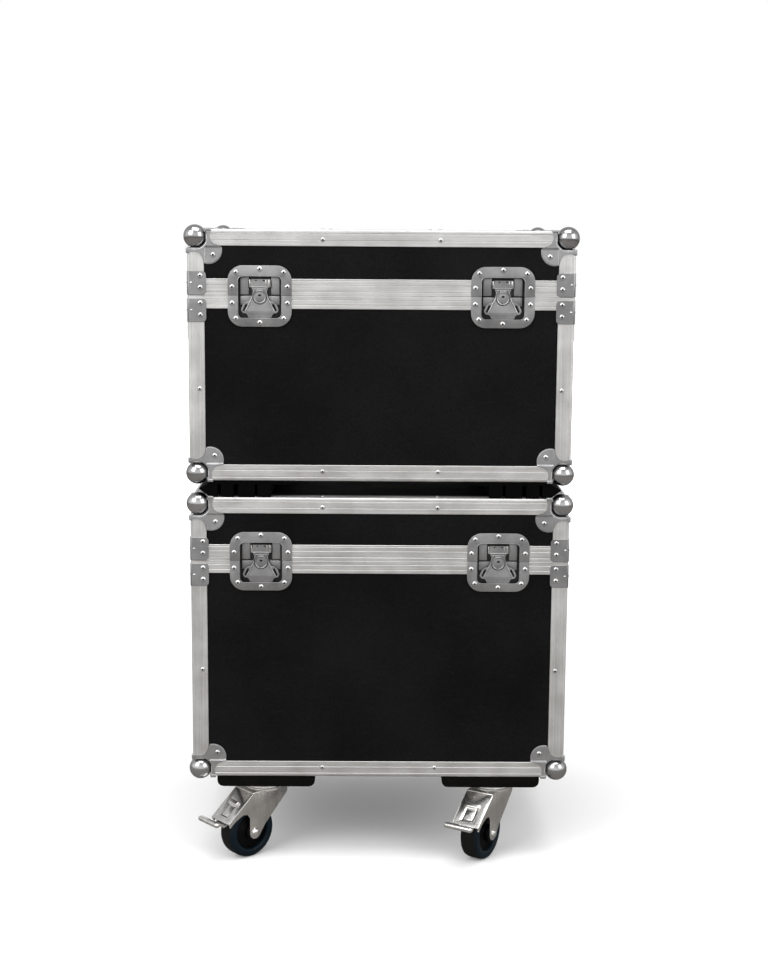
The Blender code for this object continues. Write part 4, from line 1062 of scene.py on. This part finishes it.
def handleDish():
    # A pressed dish with a beaded opening, its cup, the grip's two lugs and eight rivets.
    wide, tall, radius = handle["cup"]
    back, wall, sheet = handle["back"], handle["wall"], handle["sheet"]
    thick, half = handle["lug"]
    depth, rise = handle["axis"]
    face = plate([squareLoop(*handle["plate"]), squareLoop(wide, tall, radius)], sheet, 0.0006, "zinc", 2)
    bead = squareLoop(wide + 0.0008, tall + 0.0008, radius)
    path = np.column_stack([bead[:, 0], np.full(len(bead), 0.0008), bead[:, 1]])
    # The cup's floor and walls take the near-black pan finish: painted shade inside the recess.
    floor = roundedBox((-wide - wall, back, -tall - wall), (wide + wall, back + wall, tall + wall),
                       0.0004, 1, "pan")
    shapes = [upright(face, handle["middle"]), tube(path, handle["bead"], 8, "zinc", True), floor]
    root = back + 0.0004
    outline = roundedOutline([(depth - half, -half, 0.004), (root, -half, 0), (root, half, 0),
                              (depth - half, half, 0.004)], 5)
    lug = plate([outline, arcPoints((depth, 0), handle["bore"], 0, 345, 23)], thick, 0.0005)
    lug = lug.mapped(lambda p: p[:, [2, 0, 1]])
    for side in (-1, 1):
        shapes.append(roundedBox((side * wide, 0.001, -tall - wall),
                                 (side * (wide + wall), back + wall / 2, tall + wall), 0.0004, 1, "pan"))
        shapes.append(roundedBox((-wide, 0.001, side * tall),
                                 (wide, back + wall / 2, side * (tall + wall)), 0.0004, 1, "pan"))
        shapes.append(lug.moved(at(side * (handle["cheek"] + thick / 2), 0, rise)))
    x, z, end = handle["rivets"]
    spots = [(side * x, height) for side in (-1, 1) for height in (-z, 0, z)] + [(0, -end), (0, end)]
    for a, b in spots:
        shapes += rivetAt(at(a, handle["middle"] - sheet / 2, b) @ faceTurns["front"], 0.9)
    return shapes


def bailShapes():
    # A bent steel bar with a ribbed rubber grip, hanging from its two pins.
    half, drop, bend = handle["half"], handle["drop"], handle["bend"]
    side = np.concatenate([[(half + handle["pin"], 0), (half + 0.004, 0)],
                           arcPoints((half + 0.003, -0.003), 0.003, 90, 180, 4),
                           arcPoints((half - bend, bend - drop), bend, 0, -90, 8)])
    path = np.concatenate([side, side[::-1] * (-1, 1)])
    bar = tube(np.column_stack([path[:, 0], np.zeros(len(path)), path[:, 1]]), handle["leg"], 14, "castor")
    reach = half - bend - 0.001
    end = np.array([(-reach, 0.6), (-reach + 0.0006, 0.9), (-reach + 0.002, 1)])
    ribs = np.stack([np.linspace(-reach + 0.006, reach - 0.006, 25), 1 - 0.05 * (np.arange(25) % 2)], -1)
    grip = np.concatenate([end, ribs, end[::-1] * (-1, 1)])
    sleeve = tube([(x, 0, -drop) for x in grip[:, 0]], handle["grip"] * grip[:, 1], 16, "rubber")
    return [bar, sleeve]


def handlePieces(level, side, word):
    start, height = halfFrame(level, "base")[:2]
    place = at(side * halfX, 0, start + height * handle["rise"]) @ turn(side * 90, "Z")
    depth, rise = handle["axis"]
    label, node = f"{level}{word.capitalize()}Handle", f"{level}_{word}_handle_"
    addPiece(label + "Dish", level + "_base", handleDish(), 40, [node + "dish"], place)
    addPiece(label + "Bail", node + "bail", bailShapes(), 50, [node + "bail"], place @ at(0, depth, rise))


for levelName in levels:
    for sideSign, sideWord in ((-1, "left"), (1, "right")):
        latchPieces(levelName, sideSign, sideWord)
        handlePieces(levelName, sideSign, sideWord)
print("latches and handles fitted")

# Castors stand about their swivel axis at floor level, and x runs along the trail.
castor = {"x": 0.2135, "y": 0.2205, "turns": {"left": 48.5, "right": 32.0}, "height": 0.142,
          "plate": (0.0585, 0.0460, 0.0035), "boltAt": (0.0470, 0.0350), "race": (0.030, 0.004),
          "trail": 0.0416, "wheel": 0.050}
fork = {"inner": 0.0241, "wall": 0.003, "low": 0.1232, "crown": 0.1272, "top": 0.1342, "back": 0.034,
        "slope": (0.047, 0.1252), "slopeEnd": (0.103, 0.080), "sheet": 0.0025,
        "slot": (0.0355, 0.0612, 0.0108), "flap": 0.0018, "tab": (0.0255, 0.0345, 0.0130), "eye": 0.0122,
        "washer": (0.0093, 0.0010), "bolt": (0.0074, 0.0040), "axle": 0.006, "soft": 0.0007,
        "leg": ((-0.034, 0.1262, 0.001), (-0.034, 0.1132, 0.012), (0.0190, 0.0610, 0.010)),
        "arch": ((0.0538, 0.0790, 0.006), (0.0591, 0.0875, 0.004), (0.0690, 0.0895, 0.010),
                 (0.0820, 0.0835, 0.020), (0.1010, 0.0712, 0.001), (0.1028, 0.0797, 0.001),
                 (0.0472, 0.1250, 0.003))}
pedal = {"pivot": (0.0905, 0.0785), "knee": (0.0135, -0.0062), "tee": (0.0372, 0.0058), "half": 0.0150,
         "sheet": 0.0013, "bar": (0.0055, 0.0290, 0.0048), "pin": (0.0022, 0.0238)}


def steelBox(low, high, radius, steps):
    return roundedBox(low, high, radius, steps, "castor")


def rod(radius, reach, segments):
    # A plain pin along Y, reaching as far to either side.
    profile = [(0, -reach), (radius, -reach), (radius, reach), (0, reach)]
    return revolve(profile, segments, "castor").moved(turn(90, "X"))


def castorPlate():
    # The mounting plate with the upper race under it and four bolt heads.
    x, y, wall = castor["plate"]
    radius, drop = castor["race"]
    height = castor["height"]
    under = height - wall
    low = under - drop
    race = [(0, low), (radius - 0.0012, low), (radius, low + 0.0010), (radius, low + 0.0026),
            (radius - 0.0010, low + 0.0032), (radius, under + 0.0005), (0, under + 0.0005)]
    head = [(0, 0.0034), (0.003, 0.0032), (0.0056, 0.0018), (0.0060, 0), (0.0060, -0.0005), (0, -0.0005)]
    head = revolve(head, 18, "castor")
    shapes = [steelBox((-x, -y, under), (x, y, height), 0.0010, 2), revolve(race, 40, "castor")]
    a, b = castor["boltAt"]
    return shapes + [head.moved(at(sx * a, sy * b, under) @ faceTurns["down"]) for sx, sy in quadrants]


def forkShapes():
    # Crown, two legs with an arch over the wheel, a sloping front with its slot and rolled tab,
    # folds rounded over by a thin bar, and the axle's domed bolts on washers.
    inner, wall, low, crown, top = (fork[key] for key in ("inner", "wall", "low", "crown", "top"))
    outer = inner + wall
    cap = [(0, low), (0.034, low), (0.036, low + 0.0014), (0.0355, crown + 0.0015), (0.0335, crown + 0.0030),
           (0.0330, crown + 0.0050), (0.0316, top), (0, top)]
    shapes = [revolve(cap, 44, "castor"),
              steelBox((-fork["back"], -outer, low), (fork["slope"][0], outer, crown), 0.0014, 3)]
    eye = [(x, z, 0) for x, z in arcPoints((castor["trail"], castor["wheel"]), fork["eye"], 205, 360, 14)]
    leg = plate([roundedOutline([*fork["leg"], *eye, *fork["arch"]], 6)], wall, fork["soft"], "castor", 2)
    shapes += [upright(leg, side * (inner + wall / 2)) for side in (-1, 1)]
    (u0, z0), (u1, z1) = fork["slope"], fork["slopeEnd"]
    span = math.hypot(u1 - u0, z1 - z0)
    tilt = at(u0, 0, z0) @ turn(math.degrees(math.atan2(z0 - z1, u1 - u0)), "Y")
    first, last, half = fork["slot"]
    sheet, flap = fork["sheet"], fork["flap"]
    face = np.array([(0, -outer), (span, -outer), (span, outer), (0, outer)])
    hole = roundedOutline([(first, -half, 0.001), (last, -half, 0.001), (last, half, 0.001),
                           (first, half, 0.001)], 3)
    # Under the slot lies a thin sheet painted near black, painted shade seen through the slot.
    slope = [plate([face, hole], sheet, 0.0004, "castor").moved(at(0, 0, -sheet / 2)),
             steelBox((first - 0.001, -half + flap, -sheet), (last - flap, half - flap, -0.0008), 0.0005, 2),
             roundedBox((first, -half, -sheet - 0.0010), (last, half, 0.0003 - sheet), 0.0003, 1, "hole")]
    first, last, half = fork["tab"]
    slope.append(steelBox((first, -half, -0.001), (last, half, 0.0046), 0.0022, 5))
    for y in (outer - 0.0006, 0.0006 - outer):
        slope.append(tube([(0.001, y, -0.0011), (span - 0.001, y, -0.0011)], 0.0012, 10, "castor"))
    shapes += [shape.moved(tilt) for shape in slope]
    axle = at(castor["trail"], 0, castor["wheel"])
    shapes.append(rod(fork["axle"], outer, 16).moved(axle))
    radius, rise = fork["bolt"]
    ring, thick = fork["washer"]
    bolt = [(0, thick + rise), (radius * 0.5, thick + rise * 0.93), (radius * 0.85, thick + rise * 0.6),
            (radius, thick), (ring - 0.0003, thick), (ring, thick - 0.0004), (ring, -0.0004), (0, -0.0004)]
    for side in (-1, 1):
        end = axle @ at(0, side * outer, 0) @ turn(-90 * side, "X")
        shapes.append(revolve(bolt, 24, "castor").moved(end))
    return shapes


# The upper half of each ring's closed profile, as radius and distance from the wheel's middle.
wheel = {"tyre": ((0.0340, 0.0110), (0.0346, 0.0160), (0.0362, 0.0176), (0.0400, 0.0180), (0.0452, 0.0174),
                  (0.0482, 0.0156), (0.0492, 0.0132), (0.0478, 0.0120)),
         "tread": ((0.0470, 0.0128), (0.0490, 0.0130), (0.0497, 0.0110), (0.0500, 0.0070)),
         "hub": ((0.0064, 0.0235), (0.0148, 0.0235), (0.0158, 0.0226), (0.0163, 0.0140), (0.0195, 0.0118),
                 (0.0330, 0.0112), (0.0345, 0.0108))}


def wheelShapes():
    # A blue-sided tyre with a grey tread on a black hub, as three rings about the axle.
    return [revolve([*half, *((r, -z) for r, z in reversed(half))], 64, finish, True).moved(turn(90, "X"))
            for finish, half in wheel.items()]


def pedalShapes():
    # A bent lever with a pill-shaped foot bar, about its pin.
    knee, tee, half = np.array(pedal["knee"]), np.array(pedal["tee"]), pedal["sheet"]
    line = np.array([(-0.003, 0.0012), knee * 0.8, knee * 1.05 + (0.0008, 0.0),
                     knee * 0.75 + tee * 0.25, tee])
    outline = np.concatenate([line + (0, half), (line - (0, half))[::-1]])
    u, y, z = pedal["bar"]
    return [upright(prism(outline, -pedal["half"], pedal["half"], "castor")),
            steelBox((tee[0] - u, -y, tee[1] - z), (tee[0] + u, y, tee[1] + z), 0.0045, 6),
            rod(*pedal["pin"], 12)]


def castorPieces(endSign, endWord, sideSign, sideWord):
    place = at(sideSign * castor["x"], endSign * castor["y"], 0)
    turned = place @ turn(endSign * (90 + castor["turns"][sideWord]), "Z")
    axle = turned @ at(castor["trail"], 0, castor["wheel"])
    pivot = turned @ at(pedal["pivot"][0], 0, pedal["pivot"][1])
    label, node = endWord + sideWord.capitalize() + "Castor", f"{endWord}_{sideWord}_castor_"
    addPiece(label + "Plate", "lower_base", castorPlate(), 35, [node + "plate"], place)
    addPiece(label + "Fork", node + "fork", forkShapes(), 35, [node + "fork"], turned)
    addPiece(label + "Wheel", node + "wheel", wheelShapes(), 40, [node + "wheel"], axle)
    addPiece(label + "Pedal", node + "pedal", pedalShapes(), 40, [node + "pedal"], pivot)


for endSign, endWord in ((-1, "front"), (1, "rear")):
    for sideSign, sideWord in ((-1, "left"), (1, "right")):
        castorPieces(endSign, endWord, sideSign, sideWord)
for sideWord in ("left", "right"):
    dress(sideWord + "_stacking_runner", "rubber")
    dress(sideWord + "_castor_board", "board")
print("castors fitted")

studio = {"floorReach": 14.0, "floorShade": 0.88, "floorBounce": 0.215, "floorLift": 0.095,
          "fade": (1.8, 4.5), "skyForFloor": 0.95, "front": (0.56, 1.18), "overhead": 0.62, "behind": 0.50}


def makeFloor():
    # A wide pale sheet. To the camera it is near white; what it throws back on the metal is dimmer.
    mesh = bpy.data.meshes.new("studioFloor")
    reach = studio["floorReach"]
    outline = [(-reach, -reach, 0), (reach, -reach, 0), (reach, reach, 0), (-reach, reach, 0)]
    mesh.from_pydata(outline, [], [(0, 1, 2, 3)])
    floor = bpy.data.objects.new("studioFloor", mesh)
    bpy.context.scene.collection.objects.link(floor)
    paper = Finish("studioPaper", None)
    fibre = paper.noise(paper.place(), 60.0, 3.0)
    shade, bounce = studio["floorShade"], studio["floorBounce"]
    seen = paper.add("ShaderNodeLightPath", output="Is Camera Ray")
    level = seen * (shade - bounce) + bounce + fibre * 0.01
    warm = (1 - seen) * 0.012
    tone = paper.add("ShaderNodeCombineColor", Red=level + warm, Green=level, Blue=level - warm)
    # Far from the case the sheet turns as white as the backdrop, so no horizon shows.
    reached = paper.add("ShaderNodeVectorMath", {"operation": "LENGTH"}, 1, at0=paper.place())
    lift = paper.ramp(reached, *studio["fade"], studio["floorLift"], 1.0)
    paper.set(Base_Color=tone, Roughness=0.9, Specular_IOR_Level=0.1, Emission_Strength=1.0,
              Emission_Color=paper.tint(seen * lift, (0, 0, 0), (1, 1, 1)))
    mesh.materials.append(paper.material)


def makeWorld():
    # White to the camera. Metal sees a studio that is bright in front and grey above and behind.
    world = bpy.data.worlds.new("studio")
    bpy.context.scene.world = world
    world.use_nodes = True
    sky = Wiring(world.node_tree)
    back = world.node_tree.nodes["Background"]
    coords = sky.add("ShaderNodeTexCoord", output="Generated")
    y, z = (sky.add("ShaderNodeSeparateXYZ", output=axis, Vector=coords) for axis in "YZ")
    above = sky.ramp(z, 0.35, 0.85)
    dome = sky.ramp(z, -0.15, 0.15, *studio["front"]) * (1 - above) + above * studio["overhead"]
    rear = sky.ramp(y, -0.15, 0.5)
    dome = dome * (1 - rear) + rear * studio["behind"]
    glossy, camera, through = (sky.add("ShaderNodeLightPath", output=f"Is {kind} Ray")
                               for kind in ("Glossy", "Camera", "Transmission"))
    backdrop = glossy * sky.ramp(y, 0.80, 0.97)
    white = (camera + through + backdrop).sum("MINIMUM", 1.0)
    light = glossy * dome + (1 - glossy) * studio["skyForFloor"]
    sky.feed(back.inputs["Strength"], light * (1 - white) + white)
    back.inputs["Color"].default_value = (1, 1, 1, 1)


lamps = {
    "keyLamp": {"place": (-2.4, -2.6, 2.9), "size": (2.4, 2.4), "power": 74.0},
    "fillLamp": {"place": (2.6, -2.2, 2.2), "size": (2.0, 2.2), "power": 36.0},
    "topLamp": {"place": (0.0, -0.9, 3.6), "size": (2.4, 1.6), "power": 50.0},
}


def makeLamps():
    aim = Vector((0, 0, 0.6))
    for name, setting in lamps.items():
        data = bpy.data.lights.new(name, "AREA")
        data.shape = "RECTANGLE"
        data.size, data.size_y = setting["size"]
        data.energy = setting["power"]
        lamp = bpy.data.objects.new(name, data)
        lamp.location = setting["place"]
        lamp.rotation_euler = (aim - lamp.location).to_track_quat("-Z", "Y").to_euler()
        bpy.context.scene.collection.objects.link(lamp)


view = {"place": (-0.0134, -3.1168, 1.1562), "down": 8.843, "turn": -0.407, "roll": 0.396, "lens": 60.285}


def makeCamera():
    data = bpy.data.cameras.new("camera")
    data.lens, data.sensor_width, data.sensor_fit = view["lens"], 36.0, "AUTO"
    camera = bpy.data.objects.new("camera", data)
    aimed = turn(view["turn"], "Z") @ turn(90 - view["down"], "X") @ turn(view["roll"], "Z")
    camera.matrix_world = at(*view["place"]) @ aimed
    bpy.context.scene.collection.objects.link(camera)
    bpy.context.scene.camera = camera


makeFloor()
makeWorld()
makeLamps()
makeCamera()
bpy.context.scene.view_settings.view_transform = "Standard"
print("studio set")
